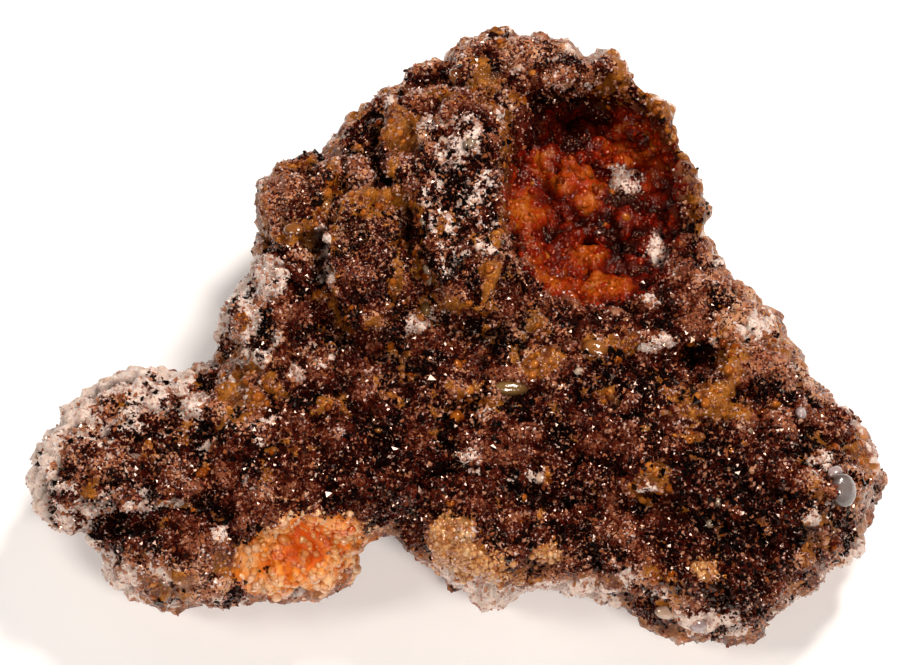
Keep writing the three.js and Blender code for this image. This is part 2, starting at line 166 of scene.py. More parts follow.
def drift(points, spacing, salt):
    """A slow, cloudy change from 0 to 1: the numbers of the 8 nearest grid corners, blended."""
    home = np.ascontiguousarray(points.T) / spacing
    cell = np.floor(home)
    share = smoothstep(0, 1, home - cell)
    total = np.zeros_like(home[0])
    for step in np.ndindex(2, 2, 2):
        corner = np.array(step)[:, None]
        weight = np.where(corner == 1, share, 1 - share).prod(0)
        total += weight * scatter(*(cell + corner), salt)
    return total


def oval(form, u, v):
    """1 inside an oval, falling to 0 outside it over its soft edge."""
    angle = math.radians(form[4])
    du, dv = u - form[0], v - form[1]
    along = (du * math.cos(angle) + dv * math.sin(angle)) / form[2]
    across = (dv * math.cos(angle) - du * math.sin(angle)) / form[3]
    return 1 - smoothstep(1 - form[6], 1 + form[6], np.hypot(along, across))


def distance_to(line, u, v):
    """The distance from each point to the nearest stretch of a line."""
    least = np.full(np.shape(u), np.inf)
    for (au, av), (bu, bv) in zip(line[:-1], line[1:]):
        ru, rv = bu - au, bv - av
        share = np.clip(((u - au) * ru + (v - av) * rv) / (ru * ru + rv * rv), 0, 1)
        least = np.minimum(least, np.hypot(u - au - share * ru, v - av - share * rv))
    return least


def bell(distance, width):
    """1 at no distance, and less on either side of it along a bell curve of that half width."""
    return np.exp(-((distance / width) ** 2))


def upper_height(u, v):
    """The height of the upper side above the ground: the field, its ovals, cracks and lumps."""
    height = FIELD_HEIGHT + sum(form[5] * oval(form, u, v) for form in RELIEF)
    for line, half, depth in CRACKS:
        height = height - depth * bell(distance_to(line, u, v), half)
    lumps = HOLLOW_LUMP_HEIGHT * domes(u, v, 0 * u, HOLLOW_LUMP_SPACING, 5)
    return height + oval(HOLLOW_FLOOR, u, v) * lumps


def place(u, v, height):
    """Points of the plane, at heights above the ground, as x, y and z."""
    return np.stack([u, (v - height * COS) / SIN, height], -1)


def cubic_at(turn):
    """A point of the closed smooth curve through the outline: a cubic between two neighbours
    that leaves each of them along the line between the points on either side of it."""
    first = np.floor(turn).astype(int)
    share = (turn - first)[..., None]
    before, start, end, after = (OUTLINE[(first + n) % len(OUTLINE)] for n in (-1, 0, 1, 2))
    leaving, arriving = (end - before) / 2, (after - start) / 2
    return (start + leaving * share + (3 * (end - start) - 2 * leaving - arriving) * share ** 2
            + (2 * (start - end) + leaving + arriving) * share ** 3)


walk_turns = np.linspace(0, len(OUTLINE), 12 * len(OUTLINE) + 1)
walk_steps = np.linalg.norm(np.diff(cubic_at(walk_turns), axis=0), axis=1)
walk_shares = np.concatenate([[0], np.cumsum(walk_steps)]) / walk_steps.sum()


def outline_at(share):
    """The outline walked evenly: the point at a share of its whole length."""
    return cubic_at(np.interp((share + START) % 1, walk_shares, walk_turns))


def even_outline_at(share):
    """The outline without its bays: the mean of a stretch of it."""
    stretch = [outline_at(share + n / EVEN_SAMPLES * EVEN_SPAN)
               for n in range(-EVEN_SAMPLES, EVEN_SAMPLES + 1)]
    return np.mean(stretch, axis=0)


class Stations:
    """What the shoulder and the wall need at each of a number of even stops round the stone."""

    def __init__(self, count):
        share = np.arange(count) / count
        self.rim = outline_at(share)
        run = even_outline_at(share + EVEN_STEP) - even_outline_at(share - EVEN_STEP)
        run /= np.linalg.norm(run, axis=1)[:, None]
        to_far = smoothstep(NEAR_V, FAR_V, self.rim[:, 1])
        inward = np.stack([-run[:, 1], run[:, 0]], 1)
        inset = INSET_NEAR + (INSET_FAR - INSET_NEAR) * to_far
        self.field = even_outline_at(share) + inward * inset[:, None]
        self.left = (smoothstep(*LEFT_LOBE_U, -self.rim[:, 0])
                     * smoothstep(*LEFT_LOBE_V, self.rim[:, 1]))
        self.height = RIM_HEIGHT + RIM_RISE_PER_MM * self.rim[:, 1] + LEFT_RIM_RISE * self.left
        self.shoulder = SHOULDER_NEAR + (SHOULDER_FAR - SHOULDER_NEAR) * to_far
        self.footing = 1 - WALL_TURN_PER_MM * self.height - LEFT_FOOTING * self.left

    def shoulder_ring(self, share):
        """In from the rim and up a quarter of an ellipse, on to the upper side's own height."""
        u, v = (self.rim + (self.field - self.rim) * share).T
        width = np.linalg.norm(self.field - self.rim, axis=1)
        remaining = np.maximum(1 - share * width / self.shoulder, 0)
        rise = np.sqrt(1 - remaining * remaining)
        return place(u, v, self.height + (upper_height(u, v) - self.height) * rise)

    def wall_ring(self, share):
        """Down from the rim: a parabola that leaves square to the plane and turns in to the foot."""
        start = place(*self.rim.T, self.height)
        knee = start + np.outer(0.5 * self.height / SIN, [0, COS, -SIN])
        foot_uv = MIDDLE + (self.rim - MIDDLE) * self.footing[:, None]
        foot = place(*foot_uv.T, UNDERSIDE_HEIGHT + LEFT_FOOT_RISE * self.left)
        return (1 - share) ** 2 * start + 2 * share * (1 - share) * knee + share ** 2 * foot


def disc_shares(steps):
    """A square grid drawn in to a disc: each point's share of the way out, and of the way round."""
    y, x = np.meshgrid(*[np.linspace(-1, 1, steps + 1)] * 2, indexing="ij")
    out = np.maximum(abs(x), abs(y))
    safe = np.where(out == 0, 1, out)
    eighth = np.select([x == out, y == out, x == -out], [y / safe, 2 - x / safe, 4 - y / safe],
                       6 + x / safe)
    return out, (eighth / 8) % 1


def fill_loop(edge, steps):
    """A square grid over a loop of edge points. Its inner points are moved, every second one at
    a time, until each is close to the mean of its four neighbours."""
    out, along = disc_shares(steps)
    nearest = np.rint(along * len(edge)).astype(int) % len(edge)
    middle = edge.mean(0)
    grid = middle + (edge[nearest] - middle) * out[..., None]
    rows, columns = np.indices(out.shape)
    push = 2 / (1 + math.sin(math.pi / steps))
    sets = [((rows + columns) % 2 == odd)[1:-1, 1:-1, None] for odd in (0, 1)]
    inner = grid[1:-1, 1:-1]
    for _ in range(4 * steps):
        for chosen in sets:
            mean = (grid[1:-1, :-2] + grid[1:-1, 2:] + grid[:-2, 1:-1] + grid[2:, 1:-1]) / 4
            inner += np.where(chosen, push * (mean - inner), 0)
    return grid


def grid_loop(steps):
    """The numbers of a square grid's edge points, in the order of the stations round it."""
    out, along = disc_shares(steps)
    edge = np.flatnonzero(out.ravel() == 1)
    order = np.rint(along.ravel()[edge] * 4 * steps).astype(int) % (4 * steps)
    return edge[np.argsort(order)]


def underside(points):
    """Nearly level, lower on its feet, which are worn flat where they stand."""
    height = points[..., 2].copy()
    for x, y, radius in FEET:
        near = np.hypot(points[..., 0] - x, points[..., 1] - y) / radius
        height -= FOOT_DEPTH * (1 - smoothstep(FOOT_FLAT, 1, near))
    return np.stack([points[..., 0], points[..., 1], np.maximum(height, 0)], -1)


# How finely the skin is divided: squares across the top, points round the rim, rings below them.
TOP_STEPS = 224
AROUND = 4 * TOP_STEPS
SHOULDER_RINGS = 27
SHOULDER_SHARES = (np.arange(SHOULDER_RINGS - 1, -1, -1) / SHOULDER_RINGS) ** 2
WALL_RINGS = 23
UNDER_STEPS = 56

# The skin's flat map, one unit wide and high.
MAP_MARGIN = 0.01
UPPER_SHIFT, UPPER_SCALE, UPPER_BOTTOM = (53, 39), 0.0091, 0.285
STRIP_TOP, STRIP_HEIGHT, STRIP_WIDTH = 0.275, 0.105, 0.97
UNDER_SHIFT, UNDER_SCALE = (54, 46), 0.00185


def grid_squares(numbers):
    """The squares between the points of a grid, given by their numbers."""
    corners = [numbers[:-1, :-1], numbers[:-1, 1:], numbers[1:, 1:], numbers[1:, :-1]]
    return np.stack(corners, -1).reshape(-1, 4)


def split_squares(points, squares):
    """Squares as pairs of triangles, parted along the shorter diagonal."""
    a, b, c, d = squares.T
    across = (np.linalg.norm(points[a] - points[c], axis=1)
              < np.linalg.norm(points[b] - points[d], axis=1))
    first = np.where(across, [a, b, c], [a, b, d])
    second = np.where(across, [a, c, d], [b, c, d])
    return np.concatenate([first, second], 1).T


def stone_skin(stations):
    """The closed skin: a square grid on top, rings down the shoulder and the wall, and a coarser
    grid underneath, whose edge takes the last ring's points four at a time."""
    u, v = np.moveaxis(fill_loop(stations.field, TOP_STEPS), -1, 0)
    top = place(u, v, upper_height(u, v)).reshape(-1, 3)
    numbers = np.arange(len(top)).reshape(u.shape)
    squares = [grid_squares(numbers)]
    rings = [stations.shoulder_ring(share) for share in SHOULDER_SHARES]
    rings += [stations.wall_ring(n / WALL_RINGS) for n in range(1, WALL_RINGS)]
    above = grid_loop(TOP_STEPS)
    start = len(top)
    for ring in rings:
        below = start + np.arange(len(ring))
        squares.append(np.stack([above, below, np.roll(below, -1), np.roll(above, -1)], 1))
        above, start = below, start + len(ring)
    foot_ring = stations.wall_ring(1)[::TOP_STEPS // UNDER_STEPS]
    under = underside(fill_loop(foot_ring, UNDER_STEPS)).reshape(-1, 3)
    numbers = start + np.arange(len(under)).reshape(UNDER_STEPS + 1, UNDER_STEPS + 1)
    squares.append(grid_squares(numbers)[:, [0, 3, 2, 1]])
    bottom = start + grid_loop(UNDER_STEPS)
    points = np.concatenate([top, *rings, under])
    faces = [split_squares(points, np.concatenate(squares))]
    after = np.roll(bottom, -1)
    fine = above.reshape(len(bottom), -1)
    fine = np.concatenate([fine, np.roll(fine[:, :1], -1, 0)], 1)
    half = fine.shape[1] // 2
    for n in range(fine.shape[1] - 1):
        foot = bottom if n < half else after
        faces.append(np.stack([fine[:, n], foot, fine[:, n + 1]], 1))
    faces.append(np.stack([fine[:, half], bottom, after], 1))
    return points, np.concatenate(faces)


def gathered(faces, values, count):
    """The sum at each point of what the faces' corners there hold."""
    return np.stack([sum(np.bincount(faces[:, n], values[:, n, axis], count) for n in range(3))
                     for axis in range(3)], 1)


def normals_of(points, faces):
    """The mean direction of the faces round each point, larger faces counting more."""
    a, b, c = (points[faces[:, n]] for n in range(3))
    face = np.cross(b - a, c - a)
    total = gathered(faces, np.repeat(face[:, None], 3, 1), len(points))
    return total / np.maximum(np.linalg.norm(total, axis=1), 1e-12)[:, None]


def without_spikes(points, faces, reach):
    """The points, each drawn in to at most that reach from the mean of its neighbours."""
    corners = points[faces]
    others = np.roll(corners, 1, 1) + np.roll(corners, 2, 1)
    counts = 2 * np.bincount(faces.ravel(), minlength=len(points))
    mean = gathered(faces, others, len(points)) / counts[:, None]
    away = points - mean
    far = np.linalg.norm(away, axis=1)[:, None]
    return mean + away * np.minimum(1, reach / np.maximum(far, reach))


def plane_of(points):
    """Where a point stands on the leaning plane: its u and v."""
    return points[:, 0], points[:, 1] * SIN + points[:, 2] * COS


def stone_map(points, faces, rim_start, under_start):
    """Where the skin's corners lie on its flat map: the upper side as it is seen from the plane,
    under it the wall unrolled as a strip, and the underside small in the corner."""
    upper = (np.stack(plane_of(points), 1) + UPPER_SHIFT) * UPPER_SCALE + [MAP_MARGIN, UPPER_BOTTOM]
    under = MAP_MARGIN / 2 + (points[:, :2] + UNDER_SHIFT) * UNDER_SCALE
    turn, down = np.zeros(len(points)), np.zeros(len(points))
    turn[rim_start:under_start] = np.tile(np.arange(AROUND) / AROUND, WALL_RINGS)
    down[rim_start:under_start] = np.repeat(np.arange(WALL_RINGS) / WALL_RINGS, AROUND)
    bottom = under_start + grid_loop(UNDER_STEPS)
    turn[bottom], down[bottom] = np.arange(len(bottom)) / len(bottom), 1
    turns = turn[faces]
    # A face across the strip's two ends keeps its corners together, past the far end.
    turns += (turns < 0.25) & (turns.max(1, keepdims=True) > 0.75)
    strip = np.stack([MAP_MARGIN + STRIP_WIDTH * turns, STRIP_TOP - STRIP_HEIGHT * down[faces]], 2)
    beyond = (faces >= rim_start + AROUND).any(1)[:, None, None]
    below = (faces >= under_start).all(1)[:, None, None]
    return np.where(below, under[faces], np.where(beyond, strip, upper[faces])).reshape(-1, 2)


# The skin's points run from the top down. stone_wall is 0 on the upper side, and turns to 1 down
# the first third of the wall. stone_edge is 1 on the whole wall, and falls to 0 in from the rim.
WALL_FADE = 0.3
RIM_FADE = (0.2, 2.0)
stations = Stations(AROUND)
stone_points, stone_faces = stone_skin(stations)
wall_start = (TOP_STEPS + 1) ** 2 + SHOULDER_RINGS * AROUND
under_start = wall_start + (WALL_RINGS - 1) * AROUND
stone_places = stone_map(stone_points, stone_faces, wall_start - AROUND, under_start)
wall_depth = np.repeat(np.arange(1, WALL_RINGS) / WALL_RINGS, AROUND)
stone_wall = np.zeros(len(stone_points))
stone_wall[wall_start:under_start] = smoothstep(0, WALL_FADE, wall_depth)
stone_wall[under_start:] = 1
from_rim = np.outer(SHOULDER_SHARES, np.linalg.norm(stations.field - stations.rim, axis=1)).ravel()
stone_edge = stone_wall.copy()
stone_edge[wall_start - len(from_rim):wall_start] = 1 - smoothstep(*RIM_FADE, from_rim)
stone_edge[wall_start:] = 1

# Broad warts all over, long low ledges and crooked seams in the field, and round each rib a
# groove with a raised lip inside it. None of it reaches the feet. RIBS are closed lines of u and
# v, and SEAMS open ones.
WART_SPACING, WART_HEIGHT, WART_LEVEL = 7.5, 1.3, 0.45
FEET_CLEAR = (0.5, 5)
RIBS = [
    [(-8.8, 26.8), (-8.6, 22.8), (-7, 19), (-5, 15.5), (-4.8, 13), (-4.4, 9.2), (-3.8, 6.2), (-1.8, 3.8),
     (1, 2.5), (4.8, 2.6), (5.8, 5.9), (6.9, 13.4), (7.5, 18.4), (7.1, 23.8), (6.4, 28), (4, 30.2),
     (1.2, 29.6), (-1.2, 31), (-3.8, 30.5), (-7.2, 29.4)],
    [(-13.4, 17.5), (-6.6, 17.9), (-5.9, 15.5), (-5.7, 12), (-5.4, 8), (-5, 5), (-6.2, 3), (-8.1, 1.2),
     (-12.5, -0.6), (-14.4, 1.2), (-15.4, 4), (-15.6, 7.5), (-15.2, 10.2), (-16, 12.1), (-15.2, 13.8)],
    [(-23.8, 18), (-21, 21.6), (-17.5, 22.4), (-14.2, 21.6), (-13.8, 19.2), (-15, 15.6), (-16.8, 12.8),
     (-18.8, 10.8), (-21.2, 11.2), (-24, 13)],
]
SEAMS = [
    [(-3.8, -11), (-1.2, -10.6), (0.4, -8.9), (2.9, -8.5), (5.9, -8.9), (10.4, -10.6), (13.8, -9.8)],
    [(14.1, -8.9), (17.9, -7.2), (21.2, -5.1), (22.9, -3.9)], [(-18, -7.5), (-14.6, -7), (-12, -8.8)],
    [(12.5, -11), (14.6, -14.4), (15.9, -16), (19.6, -16.4), (22.9, -18.1)],
    [(21.2, -10.6), (22.9, -9.8), (25.4, -12.2)],
    [(-3.8, -15.1), (1.2, -16.9), (6.6, -18.1), (10.4, -19.4), (14.6, -21)],
    [(26.2, -21), (29.6, -18.9), (32.1, -17.2)],
    [(-10.4, -13.5), (-7.5, -13.5), (-4.6, -15.1), (-1.6, -14.4), (1.2, -10.6), (3.8, -8.9)],
    [(-12.9, -16.4), (-8.8, -16), (-3.8, -18.1), (2.1, -16), (7.9, -17.2)],
    [(22.5, -14.8), (28.8, -16.6), (30.6, -21)],
    [(-17.1, -18.1), (-11.6, -18.9), (-7.5, -19.8), (-2.5, -18.5)],
    [(34.4, -23.5), (39.4, -26), (37.5, -31)], [(-46, -22.8), (-42, -23), (-38.5, -22.6), (-35.5, -25)],
    [(34, -8.4), (38, -9.4), (42, -8)], [(8.8, 12.2), (13, 11.2), (18.8, 11.6), (24, 10.2)],
    [(14, 25.2), (18, 23.4), (20.5, 22)],
]
SEAM_DEPTH, SEAM_WIDTH, SEAM_UNEVEN = 1.5, 0.55, 1.6
SEAM_WANDER, RIB_WANDER = 0.6, 1.0
GROOVE_DEPTH, GROOVE_WIDTH, GROOVE_AT = 1.1, 0.55, -0.9
LIP_RISE, LIP_WIDTH, LIP_AT = 0.6, 0.7, 0.8
LEDGE_SPACING, LEDGE_STRETCH, LEDGE_LEAN, LEDGE_HEIGHT = 2.6, 0.4, 0.08, 0.8
LEDGES_END = (6, 12)


def depth_inside(line, u, v):
    """How far each point lies inside a closed line, less than 0 outside it. A point is inside if
    a ray from it to the right crosses the line an odd number of times."""
    crossings = np.zeros(np.shape(u), int)
    for (au, av), (bu, bv) in zip(line, line[1:] + line[:1]):
        spans = (av > v) != (bv > v)
        crossings += spans & (u < au + (v - av) * (bu - au) / ((bv - av) or 1))
    return distance_to(line + line[:1], u, v) * np.where(crossings % 2 == 1, 1, -1)


def fine_relief(points):
    """How far the ledges, seams, grooves and lips move the skin out along its normals."""
    u, v = plane_of(points)
    lumps = domes(LEDGE_STRETCH * u, v + LEDGE_LEAN * u, 0 * u, LEDGE_SPACING, 61)
    field = 1 - np.maximum(oval(HOLLOW_FLOOR, u, v), smoothstep(*LEDGES_END, v))
    wander = RIB_WANDER * (np.stack([drift(points, 2.4, salt) for salt in (62, 63)]) - 0.5)
    move = LEDGE_HEIGHT * (lumps - 0.5) * field
    for line in SEAMS:
        away = distance_to(line, *(np.stack([u, v]) + SEAM_WANDER * wander))
        move = move - SEAM_DEPTH * bell(away, SEAM_WIDTH) * SEAM_UNEVEN * drift(points, 2.2, 64)
    for line in RIBS:
        depth = depth_inside(line, u + wander[0], v + wander[1])
        move = move - GROOVE_DEPTH * bell(depth - GROOVE_AT, GROOVE_WIDTH)
        move += LIP_RISE * bell(depth - LIP_AT, LIP_WIDTH)
    return move


wart = domes(*stone_points.T, WART_SPACING, 11) - WART_LEVEL
clear = smoothstep(*FEET_CLEAR, stone_points[:, 2])
move = WART_HEIGHT * wart + fine_relief(stone_points) * (1 - stone_wall)
stone_points = stone_points + normals_of(stone_points, stone_faces) * (move * clear)[:, None]
stone_points[:, 2] = np.maximum(stone_points[:, 2], 0)

# Where the crust changes, as ovals (middle u and v, half length and width, turn, strength,
# softness) and as lines (points, half width, strength) on the leaning plane.
WHITE_OVALS = [
    (2.6, -29.8, 3.8, 1.4, -14, 1, 0.4), (9.4, -31.7, 2.9, 0.9, -8, 1, 0.4),
    (31.6, -35.4, 5, 1.8, -4, 0.8, 0.4), (32.5, -36.2, 4.6, 1.5, -4, 1, 0.4),
    (-49.4, -18.6, 2.2, 2.8, 0, 0.95, 0.6), (-25, 4.6, 1.4, 2.2, 0, 0.7, 0.6),
    (-26, -5.4, 2.4, 3.6, 0, 0.5, 0.7), (-32.4, -7.3, 2.8, 0.9, -20, 0.85, 0.6),
    (-32.2, -9.4, 1.8, 1.2, 0, 1, 0.5), (-38.4, -7.7, 1.6, 2.2, 60, 0.9, 0.6),
    (-48.1, -11.2, 1.6, 1.2, 0, 0.9, 0.6), (-42.9, -21.1, 1.3, 1.6, 0, 0.8, 0.6),
    (-42, -9.6, 9, 4.6, 20, 0.52, 0.5), (0.4, 17.6, 12, 5.4, 98, 0.46, 0.3), (0.6, 23, 6, 5, 98, 0.5, 0.5),
    (-22, 6.8, 2.3, 2.6, 0, 1, 0.5), (-24, 2.1, 1, 2.2, 20, 1, 0.5), (-23.6, -1.5, 4.6, 4, 0, 0.5, 0.5),
    (-19, -4.6, 2.4, 0.9, 10, 0.7, 0.6), (22.6, 19.6, 2.1, 2.6, 20, 0.74, 0.9),
    (26.1, 10.6, 1.2, 1.8, 10, 0.85, 0.9), (25.8, 3.7, 1.6, 1.5, 0, 0.8, 0.9),
    (38.8, 1.5, 4.2, 6, 35, 0.22, 0.5), (38.4, 1, 2.2, 2.4, 0, 0.54, 0.8),
    (26.9, -1.5, 2.2, 0.7, 0, 1, 0.5), (-41, -29.6, 3, 5.5, 35, 0.6, 0.5),
    (-28.6, -31.2, 4.4, 1.6, 0, 0.4, 0.5), (6, 32, 12, 5, 0, 0.3, 0.5), (21.8, -29.8, 2, 1.4, 20, 0.6, 0.5),
    (10.6, -17.2, 1.1, 0.8, 0, 0.9, 0.5), (44.6, -22.6, 1.5, 2.4, 10, 0.62, 0.8),
    (45.4, -16.4, 2, 2, 20, 0.6, 0.8),
]
WHITE_LINES = [
    ([(-51.8, -18.5), (-48.5, -10.5), (-43.8, -6.6), (-38, -4.8), (-33.5, -5.4)], 2.4, 1.15),
    ([(-51.5, -19.5), (-48.8, -24), (-45.2, -25.2)], 2, 1.15),
    ([(-49, -20.6), (-45, -21.7), (-41, -21.6), (-37, -21.4)], 0.8, 1.05),
    ([(-29.6, -2), (-27.4, 4), (-24.6, 9)], 1.1, 0.8),
    ([(-15.6, 12.6), (-15.4, 9), (-14.6, 6.2)], 0.8, 1.1),
    ([(-1, 34.6), (5, 37), (12, 36.8), (17, 34.8)], 1.5, 0.3), ([(33, 10), (39, 4), (44, -3)], 1.2, 0.3),
    ([(45, -5), (50.4, -11), (53.4, -18)], 1.4, 0.45), ([(51.5, -27), (46, -31), (40, -35)], 1.5, 0.65),
    ([(-1, -30.3), (5, -33.4), (12, -32.2), (19, -33)], 2.2, 0.85), ([(17, -31), (20, -33)], 1.2, 0.8),
]

# Where white fills the low places between dark knobs.
NET_OVALS = [
    (-41, -14, 11.5, 10, 20, 1.15, 0.4), (-27, 0, 5, 9, 0, 0.7, 0.5), (1.4, 15, 12, 5, 98, 0.7, 0.4),
    (-34, -29, 9, 5, 0, 0.7, 0.5), (39, 0, 6, 9, 35, 0.5, 0.5), (6, 33, 13, 4, 0, 0.5, 0.5),
    (0, -3, 14, 5, 0, 0.4, 0.6), (30, -31, 10, 4, 0, 0.5, 0.5), (48, -18, 5, 8, 0, 0.5, 0.5),
]
HONEY_OVALS = [
    (4.4, -9.8, 2.2, 1.2, 10, 0.62, 0.7), (-26, -4.4, 2.6, 2, 0, 0.6, 0.7),
    (-16.8, 10.6, 1.6, 2.2, 0, 0.8, 0.5), (25.8, -16.2, 1.6, 1.4, 0, 0.7, 0.6),
    (-26.8, -7.6, 3.4, 3, 20, 0.55, 0.7), (10.4, 0.6, 2, 2.6, 0, 0.6, 0.7),
    (27, -32.4, 3.4, 1.6, -10, 0.6, 0.6), (-9.4, 16.6, 4.1, 1.8, 0, 1, 0.4),
    (-6.1, 25.4, 2.6, 3, 20, 0.9, 0.4), (-3.4, 2.2, 1.2, 2.2, 0, 0.9, 0.4),
    (-33.1, -12.2, 0.8, 2.1, 0, 1, 0.4), (-19, 12.5, 1.3, 1.4, 0, 1, 0.4),
    (-25, -4.8, 1.6, 1.7, 0, 0.9, 0.5), (21.2, 30.5, 2.6, 2.6, 0, 0.9, 0.5),
    (18.1, -1.2, 2.4, 1.4, 0, 0.9, 0.5), (-34.7, -31.8, 3.2, 2, 0, 0.9, 0.5),
    (-26.5, -28.3, 3, 2.4, 0, 0.8, 0.5), (0.4, -26.4, 3.6, 5, 10, 1, 0.3), (26, -30.4, 3.4, 2, 0, 0.6, 0.6),
    (12, -27.4, 2.6, 1.4, 0, 0.6, 0.6), (0.8, -9.6, 2.2, 1, 0, 0.8, 0.5),
    (24.4, -18.2, 2.4, 2.2, 0, 0.9, 0.5), (11.4, -3.6, 3.4, 1.8, 10, 0.8, 0.5),
    (32, -8.6, 5, 2.2, 0, 0.9, 0.5), (34.6, -3, 2.2, 3, 0, 0.8, 0.5),
]
HONEY_LINES = [
    ([(6.9, 28), (7.4, 22), (7.0, 15)], 1.0, 1), ([(-28.4, -11.6), (-23.5, -8.4)], 0.8, 1),
    ([(25.5, -5.5), (27.5, -8.2), (31.5, -9.5), (34.8, -7.5), (35.2, -3), (33, -1)], 1.2, 1),
    ([(26.5, -9.5), (34, -9.9), (41, -9.8)], 0.8, 1),
    ([(24, 33), (28, 27), (30.5, 21), (31.4, 14)], 1.6, 0.9), ([(-46, -21), (-43.6, -16.6)], 0.9, 0.5),
    ([(-7, -26), (2, -31), (14, -30.6), (22, -31)], 1.8, 0.6), ([(43.3, -23.6), (44.6, -30)], 1.1, 0.8),
    ([(50.6, -13.5), (51.6, -19), (50.4, -24.5)], 1.1, 0.9),
    ([(49, -26.8), (44, -30.4), (39.4, -33.2)], 1.0, 0.9),
]
# Black crust, and painted shade where the stone only lies in shadow: the crevice under the left lobe, the
# pit, the hole at the top of the hollow, the far rim, the front of the field and the cavities under the
# front rim.
BLACK_AND_SHADE_OVALS = [
    (-7.4, 7.6, 2.2, 4, 0, 0.8, 0.6), (13.6, -25.2, 3, 2, 0, 1, 0.5), (4.6, 10.6, 2, 2.4, 0, 0.9, 0.5),
    (25.6, -31.6, 2.8, 1.6, 0, 0.9, 0.5), (34.4, -33.4, 2.6, 2, 0, 0.9, 0.5), (11, -25, 4, 2, 0, 0.9, 0.5),
    (19.2, -27.4, 3.4, 1.8, 0, 0.9, 0.5), (26.4, -34.4, 3.4, 1.4, -14, 0.7, 0.5),
    (1.2, 17, 9, 5, 98, 0.8, 0.4), (-22.5, 1.5, 1.1, 2.1, 0, 1, 0.5), (-31, -12, 1.9, 1.3, 0, 1, 0.5),
    (-24.4, -11.9, 1.7, 1.3, 0, 1, 0.5), (-38, -11.4, 3.2, 1.7, 0, 0.7, 0.6),
    (-40.2, -24.3, 4.9, 1.5, -6, 1.2, 0.35), (37.4, -21.8, 6, 8, 20, 1, 0.5),
    (38.4, -7.8, 3, 1.5, 0, 1, 0.5), (31.2, -4.2, 2.4, 2.4, 0, 1, 0.5), (13.8, 29.2, 4, 2.4, 0, 1, 0.5),
    (35, -27.5, 6, 6, 0, 0.7, 0.5), (-6, -20, 7, 3, 0, 0.5, 0.6), (-10, -14.5, 4, 2.4, 0, 0.6, 0.6),
    (0, 33.4, 7, 1.6, 8, 0.7, 0.6),
]
RED_OVALS = [
    (24.3, 11, 4.6, 6.4, 0, 1, 0.5), (26.8, -4, 3.4, 2.2, 0, 1, 0.5), (9.5, 27, 4, 3, 0, 0.8, 0.6),
    (20.5, 22.5, 5.5, 4, -10, 0.9, 0.6), (-37, -21, 5, 3, 10, 0.6, 0.6), (-15, 4, 4, 6, 10, 0.4, 0.6),
]
HOLLOW = (18.4, 16.6, 14, 11.6, 98, 1, 0.14)
# Where the hollow is amber: partly its own colour, partly painted light on its lit parts.
HOLLOW_AMBER_AND_PAINTED_LIGHT = [
    (14.2, 18, 7, 5.6, 10, 0.75, 0.5), (9.4, 15, 3, 3.6, 0, 0.9, 0.6), (15, 7.4, 8.6, 4, 0, 0.8, 0.5),
    (24.4, 22.8, 5.4, 5, -20, 0.75, 0.6), (25, 14, 5, 7, 0, 0.3, 0.5),
]
POCKET = (-17.9, -27.3, 8.6, 4.9, 14, 1, 0.16)
TAN_OVALS = [
    (0.4, -26, 2.8, 4.2, 10, 1, 0.3), (4.6, -28.4, 4.5, 1.6, -20, 0.8, 0.4),
    (31.2, -29.8, 1.2, 1.2, 0, 1, 0.3), (12, -27.6, 2, 1.2, 0, 0.7, 0.4),
]

# Where the bed is tan and pink, not red-brown, and the share of it that the grains leave bare.
WARM_OVALS = [
    (4.5, -8.6, 3, 3, 0, 0.9, 0.6), (-16.4, -1.2, 5, 2.6, 0, 0.85, 0.6), (-13.6, 19.8, 2.4, 2.6, 0, 1, 0.6),
    (25.6, -16.2, 2.8, 2.4, 0, 0.9, 0.6), (-43.5, -9.6, 5, 4, 0, 0.9, 0.6),
    (-26.6, -6.6, 4.4, 6, 0, 0.95, 0.6), (10.6, 0.2, 3.4, 3.6, 0, 0.9, 0.6),
    (-17, 10.4, 2.6, 2.6, 0, 0.9, 0.6), (44.6, -25.4, 2.2, 6, -6, 1, 0.5),
    (46.6, -16.2, 3, 3, 20, 0.8, 0.6), (-10.4, 8, 4.4, 8.5, 8, 0.45, 0.5), (-36, -31, 9, 3.6, 0, 1, 0.5),
    (41, 1, 3, 11, 38, 1, 0.4), (-50, -15, 3, 8, -30, 0.9, 0.5), (-18, 17, 9, 8, 30, 0.75, 0.5),
    (-7, 26, 6, 8, 30, 0.8, 0.5), (-41, -13, 12, 9, 20, 0.45, 0.5), (6, 33, 16, 5, -4, 0.7, 0.5),
    (39, 2, 7, 10, 35, 0.8, 0.5), (-34, -30, 10, 4.5, 0, 0.8, 0.5), (29, 24, 4, 10, 20, 0.7, 0.5),
    (30, -7, 9, 6, 0, 0.5, 0.6), (18, -3, 9, 5, 0, 0.45, 0.6), (8, -29, 16, 5, 0, 0.6, 0.6),
    (50, -18, 4, 8, 10, 0.7, 0.5), (33, -30, 9, 4, 0, 0.5, 0.6), (-26, 1, 6, 9, 0, 0.5, 0.6),
    (1, 16, 12, 6, 98, 0.5, 0.5),
]
